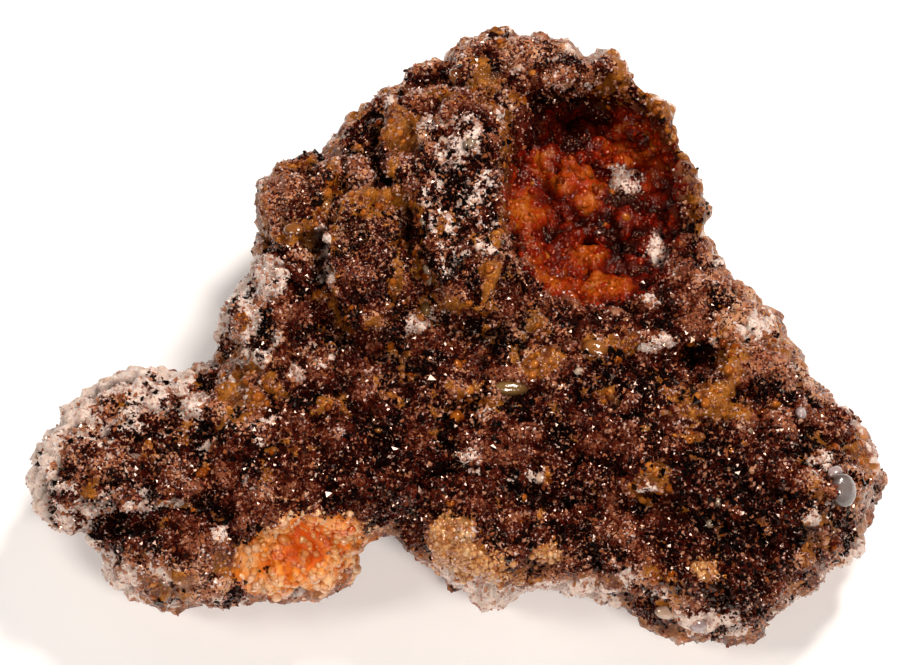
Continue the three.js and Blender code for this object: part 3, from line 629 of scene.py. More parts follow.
BARE_OVALS = [
    (4.5, -8.6, 3, 3, 0, 0.5, 0.6), (-16.4, -1.2, 5, 2.6, 0, 0.4, 0.6),
    (-13.6, 19.8, 2.4, 2.6, 0, 0.7, 0.6), (25.6, -16.2, 2.8, 2.4, 0, 0.5, 0.6),
    (-43.5, -9.6, 5, 3, 0, 0.5, 0.6), (-26.6, -6.6, 4.4, 6, 0, 0.6, 0.6),
    (10.6, 0.2, 3.4, 3.6, 0, 0.55, 0.6), (-17, 10.4, 2.6, 2.6, 0, 0.6, 0.6),
    (44.6, -25.4, 1.8, 5.4, -6, 0.75, 0.5), (32.6, -7.2, 6, 3, 0, 0.25, 0.5),
    (21.6, -28.6, 4, 2.4, 0, 0.7, 0.5), (-20, 16, 8, 7, 20, 0.45, 0.5), (-41, -12, 12, 9.6, 20, 0.35, 0.5),
    (-27, -2, 5, 8, 0, 0.35, 0.6), (38.8, 2, 6, 10, 35, 0.85, 0.4), (6, 34, 16, 4, -4, 0.55, 0.6),
    (-6.2, 25, 3.4, 4, 20, 0.7, 0.5), (1.4, 15, 10, 5, 98, 0.3, 0.4), (10, -31, 14, 3, 0, 0.8, 0.5),
    (29, 24, 3.4, 9, 20, 0.75, 0.5), (51.4, -19, 2.6, 8, 10, 0.65, 0.5), (28, -35.4, 8, 2.8, -12, 0.9, 0.4),
    (-50, -15, 3, 8, -30, 0.9, 0.4), (-42, -6.4, 8, 2.2, -8, 0.8, 0.5), (-35, -30.8, 9, 3.6, 0, 0.85, 0.5),
    (41, 1, 2.4, 10, 38, 1, 0.4), (47.5, -7, 2, 8, 42, 1, 0.4), (46.5, -31.5, 8, 2, 34, 1, 0.4),
    (16, -33, 10, 2, 0, 1, 0.4),
]


def strongest(u, v, ovals, lines=()):
    """The strongest of a set of soft ovals and lines at each point, from 0 to 1."""
    most = np.zeros(np.shape(u))
    for form in ovals:
        most = np.maximum(most, form[5] * oval(form, u, v))
    for line, half, strength in lines:
        most = np.maximum(most, strength * bell(distance_to(line, u, v), half))
    return most


def ragged(mask, points, spacing, salt, spread=0.7):
    """A soft mask given a crumbly edge by a cloudy change of that spacing."""
    return smoothstep(0.4, 0.6, mask + spread * (drift(points, spacing, salt) - 0.5))


def wandered(points):
    """The points moved by up to about a millimetre, slowly and then faster from place to place,
    so that what is drawn at them has crooked edges."""
    slow = np.stack([drift(points, 2.1, salt) for salt in (51, 52, 55)], 1) - 0.5
    fast = np.stack([drift(points, 0.9, salt) for salt in (53, 54, 56)], 1) - 0.5
    return points + 2.0 * slow + 0.9 * fast


KNOB_SPACING = 3.1
RIM_AT, RIM_WIDTH = 0.5, 0.7
# Painted shade: a dark band just outside each rib, and along each seam, how wide and how dark.
GROOVE_SHADE_AT, GROOVE_SHADE_WIDTH = -1, 0.6
SEAM_SHADE_WIDTH, SEAM_PAINTED_SHADE = 0.9, 0.9


class Ground:
    """What the crust is like at a set of points, each from 0 to 1: how white, honey, black, red,
    warm, tan and bare it is, where the hollow and the pocket are, how light the hollow is, how
    high up its knob each point lies, and a cloudy patch for the tones of grains. The black holds
    painted shade as well, in the seams, the grooves round the ribs and some shaded places; the
    hollow's light is partly its own amber and partly painted light on its lit parts and knob tops.
    wall and edge are as for the skin."""

    def __init__(self, points, wall, edge):
        moved = wandered(points)
        u, v = plane_of(moved)
        top = 1 - wall
        cloud = 0.6 * drift(points, 2.6, 31) + 0.4 * drift(points, 1.1, 32) - 0.5
        self.knob, flake = domes(*moved.T, KNOB_SPACING, 17, numbered=True)
        edge = smoothstep(0.3, 0.7, edge + 0.7 * cloud)
        warm = np.maximum(strongest(u, v, WARM_OVALS), 0.5 * edge)
        self.warm = np.clip(warm + 0.8 * cloud + 0.9 * (flake - 0.5), 0, 1)
        pale = np.maximum(top * strongest(u, v, WHITE_OVALS, WHITE_LINES), 0.3 * edge)
        hollow = top * oval(HOLLOW, u, v)
        crumbs = cloud + 0.5 * (drift(points, 0.55, 33) - 0.5)
        between = top * strongest(u, v, NET_OVALS) * (0.8 - 1.5 * self.knob)
        pale = np.maximum(np.maximum(pale, between), 0.5 * (flake > 0.955) * (1 - hollow))
        self.white = smoothstep(0.42, 0.6, pale + 0.8 * crumbs)
        honey = np.maximum(top * strongest(u, v, HONEY_OVALS, HONEY_LINES), 0.48 * edge)
        honey = np.maximum(honey, (0.45 + 0.3 * warm) * (flake < 0.11))
        rims, groove_shade = np.zeros(len(u)), np.zeros(len(u))
        for line in RIBS:
            depth = depth_inside(line, u, v)
            rims = np.maximum(rims, top * bell(depth - RIM_AT, RIM_WIDTH))
            groove_shade = np.maximum(groove_shade, bell(depth - GROOVE_SHADE_AT, GROOVE_SHADE_WIDTH))
        honey = np.maximum(honey, 0.82 * rims)
        self.honey = ragged(honey, points, 1.0, 34, 0.6) * (1 - self.white)
        self.patch = 0.5 * drift(points, 3.4, 35) + 0.2 * drift(points, 1.5, 36) + 0.3 * flake
        clump = smoothstep(0.5, 0.75, drift(points, 3.0, 38)) + 0.6 * cloud
        # The seams and the grooves just outside the ribs count as black too: painted shade in the crevices.
        seam_shade_lines = [(line, SEAM_SHADE_WIDTH, SEAM_PAINTED_SHADE) for line in SEAMS]
        black_and_shade = np.maximum(strongest(u, v, BLACK_AND_SHADE_OVALS, seam_shade_lines) + 0.5 * cloud, 0.8 * clump)
        self.black_and_shade = np.clip(top * np.maximum(black_and_shade, 0.6 * groove_shade), 0, 1)
        self.red = np.clip(top * strongest(u, v, RED_OVALS) + 0.3 * cloud, 0, 1)
        self.hollow = hollow * (1 - self.white)
        # The hollow's light: its amber ovals and clouds, and painted light, lighter on the tops of its
        # knobs and darker between them.
        light = strongest(u, v, HOLLOW_AMBER_AND_PAINTED_LIGHT) + 0.5 * cloud + 0.9 * (self.knob - 0.45)
        self.light = self.hollow * np.clip(light - 0.1, 0, 1)
        self.pocket = top * oval(POCKET, u, v)
        self.tan = top * ragged(strongest(u, v, TAN_OVALS), points, 1.4, 37)
        self.bare = np.maximum(np.maximum(strongest(u, v, BARE_OVALS), edge), 0.6 * rims)
        self.wall = wall


def new_piece(name, points, faces, places, material, values=(), smooth=True):
    """A piece from points in millimetres and triangles of point numbers, whose corners lie at
    places on its flat map. values are its named numbers or colours for each point, which its
    material reads."""
    mesh = bpy.data.meshes.new(name)
    mesh.vertices.add(len(points))
    mesh.vertices.foreach_set("co", ((points + CENTRING) / 1000).astype(np.float32).ravel())
    mesh.loops.add(3 * len(faces))
    mesh.loops.foreach_set("vertex_index", faces.astype(np.int32).ravel())
    mesh.polygons.add(len(faces))
    mesh.polygons.foreach_set("loop_start", np.arange(0, 3 * len(faces), 3, dtype=np.int32))
    mesh.polygons.foreach_set("use_smooth", np.full(len(faces), smooth))
    mesh.update(calc_edges=True)
    mesh.uv_layers.new(name="OFBake").uv.foreach_set("vector", places.astype(np.float32).ravel())
    for key, number in dict(values).items():
        if number.ndim == 1:
            field = mesh.attributes.new(key, "FLOAT", "POINT")
            field.data.foreach_set("value", number.astype(np.float32))
        else:
            field = mesh.attributes.new(key, "FLOAT_COLOR", "POINT")
            opaque = np.concatenate([number, np.ones((len(number), 1))], 1)
            field.data.foreach_set("color", opaque.astype(np.float32).ravel())
    mesh.materials.append(material)
    piece = bpy.data.objects.new(name, mesh)
    bpy.context.scene.collection.objects.link(piece)
    return piece


def paint(red, green, blue):
    """A colour given as a paint chart gives it, 0 to 255, as the light that it sends back."""
    chart = np.array([red, green, blue]) / 255
    return tuple(np.where(chart < 0.04045, chart / 12.92, ((chart + 0.055) / 1.055) ** 2.4)) + (1.0,)


def feed(tree, node, inputs):
    """Each input of a node, by its name or number, given a value or a link."""
    for key, value in inputs.items():
        if isinstance(value, bpy.types.NodeSocket):
            tree.links.new(value, node.inputs[key])
        else:
            node.inputs[key].default_value = value


def add(tree, kind, inputs=None, **settings):
    """A shader node with its settings and its inputs."""
    node = tree.nodes.new("ShaderNode" + kind)
    for key, value in settings.items():
        setattr(node, key, value)
    feed(tree, node, inputs or {})
    return node


def blend(tree, share, first, second, mode="MIX"):
    """Two colours blended by a share."""
    inputs = {0: share, 6: first, 7: second}
    return add(tree, "Mix", inputs, data_type="RGBA", blend_type=mode).outputs[2]


def maths(tree, operation, *values, clamp=False):
    """A number worked out from one, two or three others."""
    return add(tree, "Math", dict(enumerate(values)), operation=operation, use_clamp=clamp).outputs[0]


def ramp(tree, value, low, high):
    """0 up to the low value, 1 from the high one, and a straight rise between them."""
    return add(tree, "MapRange", {"Value": value, "From Min": low, "From Max": high}).outputs[0]


def number_of(tree, name):
    """A piece's own number for each point, read by its name."""
    return add(tree, "Attribute", attribute_name=name).outputs["Fac"]


def new_group(name, inputs, outputs):
    """An empty shader node group with named inputs and outputs, and its two end nodes."""
    group = bpy.data.node_groups.new(name, "ShaderNodeTree")
    for key, (kind, value) in inputs.items():
        socket = group.interface.new_socket(key, in_out="INPUT", socket_type="NodeSocket" + kind)
        if value is not None:
            socket.default_value = value
    for key, kind in outputs.items():
        group.interface.new_socket(key, in_out="OUTPUT", socket_type="NodeSocket" + kind)
    return group, group.nodes.new("NodeGroupInput").outputs, group.nodes.new("NodeGroupOutput")


# Fine druse, for the bed and the botryoids: tiny crystals as cells. A share of them are dark, each
# has its own tone, and each stands up as a small rounded point with its own tilt.
druse, give, take = new_group(
    "Fine druse",
    {"Vector": ("Vector", None), "Grain mm": ("Float", 0.5), "Dark share": ("Float", 0.5),
     "Tilt": ("Float", 0.5)},
    {"Dark": "Float", "Tone": "Float", "Height": "Float", "Normal": "Vector"},
)
scale = maths(druse, "DIVIDE", 1000.0, give["Grain mm"])
cells = add(druse, "TexVoronoi", {"Vector": give["Vector"], "Scale": scale, "Randomness": 0.9}).outputs
parts = add(druse, "SeparateColor", {"Color": cells["Color"]}).outputs
lean = cells["Color"]
for operation, inputs in (("ADD", {1: (-0.5, -0.5, -0.5)}), ("SCALE", {"Scale": give["Tilt"]}),
                          ("ADD", {1: add(druse, "NewGeometry").outputs["Normal"]}), ("NORMALIZE", {})):
    lean = add(druse, "VectorMath", {0: lean, **inputs}, operation=operation).outputs[0]
over = maths(druse, "SUBTRACT", give["Dark share"], parts["Red"])
feed(druse, take, {
    "Dark": maths(druse, "MULTIPLY_ADD", over, 12.0, 0.5, clamp=True),
    "Tone": parts["Green"],
    "Height": maths(druse, "SUBTRACT", 1.0, cells["Distance"]),
    "Normal": lean,
})


def shader_of(material):
    """The one shader of a material."""
    return next(node for node in material.node_tree.nodes if node.type == "BSDF_PRINCIPLED")


def new_material(name):
    """A material with one shader, ready for its colours, and the piece's own coordinates."""
    material = bpy.data.materials.new(name)
    material.use_nodes = True
    tree = material.node_tree
    return material, tree, shader_of(material), add(tree, "TexCoord").outputs["Object"]


def crumbled(tree, share, noise):
    """A share with a crumbly edge: it's cut off where it and a fine noise together are low."""
    level = maths(tree, "MULTIPLY_ADD", noise, 1.4, maths(tree, "SUBTRACT", share, 0.7))
    return ramp(tree, level, 0.38, 0.62)


def druse_bump(tree, grains, strength, distance):
    """The direction of the skin, tilted and raised by a fine druse."""
    heights = {key: grains.outputs[key] for key in ("Height", "Normal")}
    return add(tree, "Bump", {"Strength": strength, "Distance": distance, **heights}).outputs["Normal"]


# The bed's colours lie over each other: first, as the crusts do, red-brown to tan and pink, then white,
# honey and tan chalcedony, the hollow's red and amber, the pocket's orange and peach, and dark
# grains; last comes painted shade in the low places between knobs. The hollow's and the pocket's
# colours hold painted light and shade as well.
bed_finish, tree, shader, spot = new_material("Crust bed")
mark = {name: number_of(tree, name) for name in (
    "warm", "red", "white", "honey", "tan", "light", "hollow", "pocket_pale_and_painted_light", "pocket", "speckle", "shade")}
slow = add(tree, "TexNoise", {"Vector": spot, "Scale": 330.0, "Detail": 3.0, "Roughness": 0.6})
fine = add(tree, "TexNoise", {"Vector": spot, "Scale": 1500.0, "Detail": 2.0, "Roughness": 0.6})
fine = fine.outputs["Fac"]
warmth = ramp(tree, slow.outputs["Fac"], 0.38, 0.62)
warm = maths(tree, "MULTIPLY", maths(tree, "MULTIPLY_ADD", mark["warm"], 0.5, warmth), 1.3)
honey = blend(tree, warmth, paint(78, 26, 2), paint(142, 84, 24))
# In the hollow the bed runs from near black, which is painted shade, through red to amber by its light:
# partly its own colour, partly painted light.
hollow_shade_to_red = blend(tree, mark["light"], paint(34, 2, 1), paint(124, 24, 4))
amber = blend(tree, warmth, paint(154, 44, 4), paint(164, 88, 14))
brighter = maths(tree, "MULTIPLY", mark["pocket_pale_and_painted_light"], 2.5, clamp=True)
orange = blend(tree, brighter, paint(204, 72, 4), paint(232, 132, 32))
tilt = maths(tree, "MULTIPLY_ADD", mark["honey"], -0.4, 0.55)
tilt = maths(tree, "MULTIPLY_ADD", mark["hollow"], -0.5, tilt)
tilt = maths(tree, "MULTIPLY_ADD", mark["pocket"], -0.5, tilt, clamp=True)
grains = add(tree, "Group", {"Vector": spot, "Grain mm": 0.26, "Tilt": tilt, "Dark share": mark["speckle"]},
             node_tree=druse)
bed = blend(tree, warm, paint(66, 17, 8), paint(160, 96, 62))
for share, colour in (
    (ramp(tree, warm, 1.0, 1.9), paint(196, 146, 110)),
    (mark["red"], paint(98, 14, 8)),
    (crumbled(tree, mark["white"], fine), blend(tree, fine, paint(176, 132, 106), paint(246, 234, 226))),
    (crumbled(tree, mark["honey"], fine),
     blend(tree, ramp(tree, fine, 0.54, 0.7), honey, paint(184, 112, 40))),
    (mark["tan"], blend(tree, warmth, paint(146, 78, 28), paint(210, 154, 96))),
    (mark["hollow"], blend(tree, ramp(tree, mark["light"], 0.45, 1.0), hollow_shade_to_red, amber)),
    (mark["pocket"], blend(tree, ramp(tree, mark["pocket_pale_and_painted_light"], 0.35, 1.0), orange, paint(240, 196, 146))),
    (grains.outputs["Dark"], blend(tree, grains.outputs["Tone"], paint(16, 5, 4), paint(84, 26, 16))),
    (mark["shade"], paint(30, 8, 5)),
):
    bed = blend(tree, share, bed, colour)
feed(tree, shader, {
    "Base Color": bed,
    "Roughness": add(tree, "MapRange", {"Value": fine, "To Min": 0.06, "To Max": 0.18}).outputs[0],
    "Normal": druse_bump(tree, grains, 0.6, 0.00016),
    "Specular IOR Level": 0.32, "Specular Tint": (1, 0.75, 0.62, 1),
    "Subsurface Weight": 0.15, "Subsurface Radius": (1.0, 0.45, 0.2), "Subsurface Scale": 0.0006,
})

# Finer lumps on the broad warts: knobs of about 3 mm and of 1.3 mm, less high on the wall. The highest
# ones are levelled, so that none stands far above the stone's own top.
KNOB_HEIGHT = 1.8
FINE_KNOB_SPACING, FINE_KNOB_LEVEL = 1.35, 0.45
SPIKE_REACH = 0.6
LEVEL_TOP, LEVEL_SOFTNESS = 30.6, 1.2
ground = Ground(stone_points, stone_wall, stone_edge)
crisp = (1 - 0.45 * ground.wall) * (1 - 0.4 * ground.honey)
fine_knobs = domes(*wandered(stone_points).T, FINE_KNOB_SPACING, 23) - FINE_KNOB_LEVEL
knobs = (KNOB_HEIGHT * (ground.knob - 0.5) + (0.75 + 0.5 * ground.pocket) * fine_knobs) * crisp * clear
stone_points = stone_points + normals_of(stone_points, stone_faces) * knobs[:, None]
stone_points = without_spikes(stone_points, stone_faces, SPIKE_REACH)
above = np.maximum(stone_points[:, 2] - LEVEL_TOP, 0)
levelled = np.tanh(above / LEVEL_SOFTNESS) * LEVEL_SOFTNESS
stone_points[:, 2] = np.maximum(stone_points[:, 2] - above + levelled, 0)

# The pocket's paleness: palest at its rim, which is its own colour, and on top of its knobs,
# which is painted light. The shade darkens the low places between knobs: painted shade.
POCKET_CORE = (-17.6, -27, 6.4, 3.6, 14, 1, 0.7)
at_rim = 1 - oval(POCKET_CORE, *plane_of(wandered(stone_points)))
pocket_pale_and_painted_light = ground.pocket * np.clip(0.7 * at_rim + 0.5 * fine_knobs + 0.25 * (ground.knob - 0.4)
                                + 0.6 * (drift(stone_points, 1.6, 72) - 0.5) + 0.12, 0, 1)
shade = np.clip(-1.0 * knobs - 0.1, 0, 0.8) * (1 - 0.6 * ground.wall)
body = new_piece("nodule_body", stone_points, stone_faces, stone_places, bed_finish, {
    "white": ground.white, "honey": ground.honey, "red": ground.red, "warm": ground.warm,
    "hollow": ground.hollow, "pocket": ground.pocket, "light": ground.light, "tan": ground.tan,
    "pocket_pale_and_painted_light": pocket_pale_and_painted_light, "shade": shade * (1 - ground.hollow) * (1 - ground.pocket),
    "speckle": np.clip(0.62 + 0.3 * ground.black_and_shade - 0.35 * ground.bare - 0.55 * ground.white
                       - 0.6 * ground.honey - ground.hollow - ground.pocket, 0, 1),
})
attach(body, "root")
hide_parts("agate_nodule")


# The grains: loose-set quartz crystals grown on the bed, each a blunt double pyramid that stands
# about square to the skin. Dark red-brown and black ones crowd together, pale ones fill between.
GRAIN_TOP, LOWEST = 32.7, 0.02
CELL_MARGIN = 0.1
CRYSTAL_CORNERS, CRYSTAL_LEAN = 6, 0.5
CUBES_ACROSS = 8192

# Where the grains are finer, on the ribs: ovals as for the crust's colours.
FINE_GRAINED = [
    (-10.2, 7.5, 10, 5.6, 98, 1, 0.4), (1.6, 6, 6, 6, 98, 0.8, 0.6), (-18, 16, 7, 6, 20, 0.6, 0.6),
]

stone_normals = normals_of(stone_points, stone_faces)


class Spots:
    """Random spots on the stone's skin. Triangles are drawn by their area times the density at
    their corners, each gets a random place in it, and one spot is kept in each small cube."""

    def __init__(self, density, drawn, kept, gap, seed):
        rng = np.random.default_rng(seed)
        corners = stone_points[stone_faces]
        along, across = corners[:, 1] - corners[:, 0], corners[:, 2] - corners[:, 0]
        weight = np.linalg.norm(np.cross(along, across), axis=1) * density[stone_faces].mean(1)
        chosen = rng.choice(len(stone_faces), drawn, p=weight / weight.sum())
        share = rng.random((drawn, 2))
        share = np.where(share.sum(1, keepdims=True) > 1, 1 - share, share)
        at = corners[chosen, 0] + along[chosen] * share[:, :1] + across[chosen] * share[:, 1:]
        cubes = np.floor(at / gap).astype(np.int64) + CUBES_ACROSS // 2
        numbers = (cubes[:, 0] * CUBES_ACROSS + cubes[:, 1]) * CUBES_ACROSS + cubes[:, 2]
        first = np.sort(np.unique(numbers, return_index=True)[1])[:kept]
        self.at = at[first]
        corners = stone_faces[chosen[first]]
        self.out = lengthened(stone_normals[corners].mean(1))
        self.ground = Ground(self.at, stone_wall[corners].mean(1), stone_edge[corners].mean(1))
        self.turn = rng.normal(size=self.at.shape)
        self.rng = rng


def map_cells(count, corners):
    """The flat map of a number of like things: each has its own square of an even grid, in which
    its faces' corners, given from 0 to 1, lie with a small margin."""
    side = math.ceil(math.sqrt(count))
    home = np.stack([np.arange(count) % side, np.arange(count) // side], 1)[:, None]
    return ((home + CELL_MARGIN + (1 - 2 * CELL_MARGIN) * corners.reshape(-1, 2)) / side).reshape(-1, 2)


def lengthened(vectors):
    """The same directions, each with a length of 1."""
    return vectors / np.linalg.norm(vectors, axis=1)[:, None]


def crystals(spots, width, height):
    """Double pyramids: four corners round a belt, an apex above and one below, each corner put a
    little out of place. The axis leans off the skin's normal by a random amount."""
    rng, count = spots.rng, len(spots.at)
    axis = lengthened(spots.out + CRYSTAL_LEAN * rng.normal(size=(count, 3)))
    side = lengthened(np.cross(axis, rng.normal(size=(count, 3))))
    other = np.cross(axis, side)
    turn = np.arange(4) * math.pi / 2 + 0.3 * rng.normal(size=(count, 4))
    reach = width[:, None] * (1 + 0.2 * rng.normal(size=(count, 4)))
    belt = ((np.cos(turn) * reach)[..., None] * side[:, None]
            + (np.sin(turn) * reach)[..., None] * other[:, None])
    belt += axis[:, None] * (0.2 * height[:, None] * rng.normal(size=(count, 4)))[..., None]
    ends = axis[:, None] * (height[:, None] * [1, -0.7])[..., None]
    points = np.concatenate([belt, ends], 1) + spots.at[:, None]
    ring = np.arange(4)
    after = (ring + 1) % 4
    above = np.stack([ring, after, np.full(4, 4)], 1)
    below = np.stack([after, ring, np.full(4, 5)], 1)
    faces = np.concatenate([above, below]) + CRYSTAL_CORNERS * np.arange(count)[:, None, None]
    square = np.array([(0, 0), (0.46, 0), (0.46, 1), (0, 1), (0.23, 0.5), (0.23, 0.5)])
    corners = np.concatenate([square[above], square[below] + [0.54, 0]])
    return points.reshape(-1, 3), faces.reshape(-1, 3), map_cells(count, corners)


def clusters(points, cover):
    """1 where grains crowd: the places where a cloudy change is below the share to be covered."""
    cloud = 0.62 * drift(points, 1.9, 41) + 0.38 * drift(points, 0.8, 42)
    return smoothstep(-0.05, 0.05, cover - cloud)


# Dark grains crowd on the black and in the low places between knobs, fewer on the knob tops: partly how
# they grow, partly painted shade.
cover = np.clip(0.78 - 0.4 * ground.bare - 0.3 * ground.warm - 0.6 * ground.white - ground.tan
                + 0.4 * ground.black_and_shade - 0.8 * ground.honey - 1.2 * ground.light
                - 0.8 * ground.hollow - ground.pocket - 0.35 * knobs, 0, 1)
crowd = clusters(stone_points, cover) * np.clip(cover * 3, 0, 1)


def clouded_tint(tree, spot, dark, noise):
    """Each grain's or bead's own tint, with clouds in it that the dark colour dims."""
    tint = add(tree, "Attribute", attribute_name="tint").outputs["Color"]
    cloud = add(tree, "TexNoise", {"Vector": spot, **noise}).outputs["Fac"]
    return blend(tree, cloud, blend(tree, 1.0, tint, dark, "MULTIPLY"), tint)


crystal_finish, tree, shader, spot = new_material("Dark quartz grains")
feed(tree, shader, {
    "Base Color": clouded_tint(tree, spot, (0.35, 0.3, 0.3, 1), {"Scale": 2600.0, "Detail": 2.0}),
    "Roughness": 0.08,
    "Specular IOR Level": 0.42, "Specular Tint": (1, 0.68, 0.54, 1),
    "Coat Weight": 0.08, "Coat Roughness": 0.03,
})


def grain_piece(name, spots, width, tints):
    """One joined mesh of crystals, each of one tint, with corners about that width from its axis."""
    size = width * (0.72 + 0.56 * spots.rng.random(len(spots.at)))
    u, v = plane_of(spots.at)
    size *= 1 - 0.28 * strongest(u, v, FINE_GRAINED)
    points, faces, places = crystals(spots, size, size * (1 + 0.5 * spots.rng.random(len(size))))
    points[:, 2] = np.clip(points[:, 2], LOWEST, GRAIN_TOP)
    values = {"tint": np.repeat(tints, CRYSTAL_CORNERS, 0)}
    piece = new_piece(name, points, faces, places, crystal_finish, values, smooth=False)
    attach(piece, "root")


def chosen_tints(share, *paints):
    """A colour for each share from 0 to 1, blended along a row of paints."""
    row = np.array([paint(*chart)[:3] for chart in paints])
    at = np.clip(share, 0, 1) * (len(row) - 1)
    low = np.minimum(at.astype(int), len(row) - 2)
    return row[low] + (row[low + 1] - row[low]) * (at - low)[:, None]


# Each dark grain has a random tone, darker on the black and in the low places between knobs and lighter on
# knob tops: painted shade and light.
for name, seed in (("dark_grains_a", 3), ("dark_grains_b", 4), ("dark_grains_c", 5)):
    spots = Spots(crowd * (1 - 0.7 * stone_edge), drawn=60000, kept=15500, gap=0.36, seed=seed)
    tone = (0.5 * spots.rng.random(len(spots.at)) + 1.2 * (spots.ground.patch - 0.5)
            - 0.4 * spots.ground.black_and_shade + 0.9 * (spots.ground.knob - 0.5) + 0.28)
    red = chosen_tints(tone, (8, 2, 2), (46, 8, 4), (92, 28, 14), (164, 96, 66))
    grain_piece(name, spots, width=0.25, tints=red)

# Pale grains stand mostly on the white and on the knob tops, lighter the higher up their knob: partly
# painted light.
loose = (1 - 0.6 * crowd) * (1 - ground.hollow) * (1 - 0.7 * stone_edge)
loose *= (1 - ground.pocket) * (1 - 0.5 * ground.honey) * (1 - 0.6 * ground.bare)
loose *= 0.15 + 1.3 * np.maximum(ground.knob, ground.white)
spots = Spots(loose, drawn=40000, kept=13000, gap=0.4, seed=8)
tone = (0.65 * spots.rng.random(len(spots.at)) + 0.3 * spots.ground.white + 0.2 * spots.ground.warm
        + 0.4 * (spots.ground.knob - 0.5))
pale = chosen_tints(tone, (112, 52, 34), (188, 122, 98), (226, 188, 174), (248, 238, 234))
grain_piece("pale_grains", spots, width=0.21, tints=pale)

scattered = (0.3 + ground.warm + ground.white) * (1 - ground.hollow) * (1 - stone_edge)
scattered *= (1 - 0.8 * ground.bare) * (1 - ground.pocket)
spots = Spots(scattered, drawn=9000, kept=3000, gap=0.75, seed=9)
tone = 0.7 * spots.rng.random(len(spots.at)) + 0.3 * spots.ground.white
coarse = chosen_tints(tone, (96, 36, 16), (170, 98, 58), (204, 150, 120), (240, 220, 210))
grain_piece("coarse_grains", spots, width=0.33, tints=coarse)

# The blackest grains, on black crust and also along the seams, the grooves and the shaded places: partly
# painted shade.
blackest = np.clip(2.5 * ground.black_and_shade - 1.2, 0, 1) * (1 - ground.hollow) * (1 - ground.bare)
blackest *= (1 - ground.pocket) * (1 - ground.tan)
spots = Spots(blackest, drawn=6000, kept=1400, gap=0.95, seed=19)
black_and_shade = chosen_tints(spots.rng.random(len(spots.at)), (2, 2, 3), (14, 8, 8), (40, 12, 8))
grain_piece("black_and_shade_grains", spots, width=0.48, tints=black_and_shade)


# The botryoids: rounded beads of translucent chalcedony, flattened balls sunk in the bed they
# grew from. They fill the floor of the hollow in orange-red, the front pocket in amber and peach
# and the patch beside the notch in tan, and stand singly on the ribs and among the grains.
def ball_net(segments, stacks):
    """The triangles of a ball of stacked rings between two poles, and where their corners lie on
    its flat map: round it across, and down it."""
    row, column = (part.reshape(-1, 1) for part in np.indices((stacks, segments)))
    down = np.concatenate([(row + [0, 1, 1])[:-segments], (row + [0, 1, 0])[segments:]])
    along = np.concatenate([(column + [0, 0, 1])[:-segments], (column + [0, 1, 1])[segments:]])
    middle = np.concatenate([column[:-segments], column[segments:]]) + 0.5
    top, bottom = down == 0, down == stacks
    faces = np.select([top, bottom], [segments * (stacks - 1), segments * (stacks - 1) + 1],
                      (down - 1) * segments + along % segments)
    across = np.where(top | bottom, middle, along)
    return faces, np.stack([across / segments, 1 - down / stacks], 2)


def beads(spots, radius, segments, stacks, sink, flat, stretch):
    """Balls flattened along the skin's normal, stretched along it and put a little out of round,
    with how far each point faces outwards, -1 to 1."""
    rng, count = spots.rng, len(spots.at)
    polar, turn = np.meshgrid(np.arange(1, stacks) * math.pi / stacks,
                              np.arange(segments) * 2 * math.pi / segments, indexing="ij")
    unit = np.stack([np.sin(polar) * np.cos(turn), np.sin(polar) * np.sin(turn), np.cos(polar)], -1)
    unit = np.concatenate([unit.reshape(-1, 3), [[0, 0, 1], [0, 0, -1]]])
    side = lengthened(np.cross(spots.out, spots.turn))
    frames = np.stack([side * stretch, np.cross(spots.out, side), flat * spots.out], 1)
    phase = rng.random((count, 2)) * 2 * math.pi
    around = np.arctan2(unit[:, 1], unit[:, 0])
    bulge = (1 + 0.09 * np.sin(2 * around + phase[:, :1]) * (1 - unit[:, 2] ** 2)
             + 0.06 * np.sin(3 * unit[:, 2] + phase[:, 1:]))
    points = (unit @ frames) * (radius[:, None] * bulge)[..., None]
    points += (spots.at - spots.out * (sink * radius)[:, None])[:, None]
    faces, corners = ball_net(segments, stacks)
    faces = faces + len(unit) * np.arange(count)[:, None, None]
    facing = np.tile(unit[:, 2], count)
    return points.reshape(-1, 3), faces.reshape(-1, 3), map_cells(count, corners), facing


bead_finish, tree, shader, spot = new_material("Translucent botryoids")
noise = {"Scale": 900.0, "Detail": 3.0, "Roughness": 0.6}
grains = add(tree, "Group", {"Vector": spot, "Grain mm": 0.3, "Tilt": 0.12}, node_tree=druse)
feed(tree, shader, {
    "Base Color": clouded_tint(tree, spot, (0.62, 0.42, 0.3, 1), noise), "Roughness": 0.08,
    "Normal": druse_bump(tree, grains, 0.35, 0.0001), "Specular IOR Level": 0.5,
    "Subsurface Weight": 0.3, "Subsurface Radius": (1.0, 0.45, 0.2), "Subsurface Scale": 0.0008,
    "Coat Weight": 0.7, "Coat Roughness": 0.03,
})
deep_bead_finish = bead_finish.copy()
deep_bead_finish.name = "Deep red botryoids"
feed(deep_bead_finish.node_tree, shader_of(deep_bead_finish), {
    "Specular IOR Level": 0.45, "Specular Tint": (1, 0.5, 0.28, 1), "Coat Weight": 0.05,
})


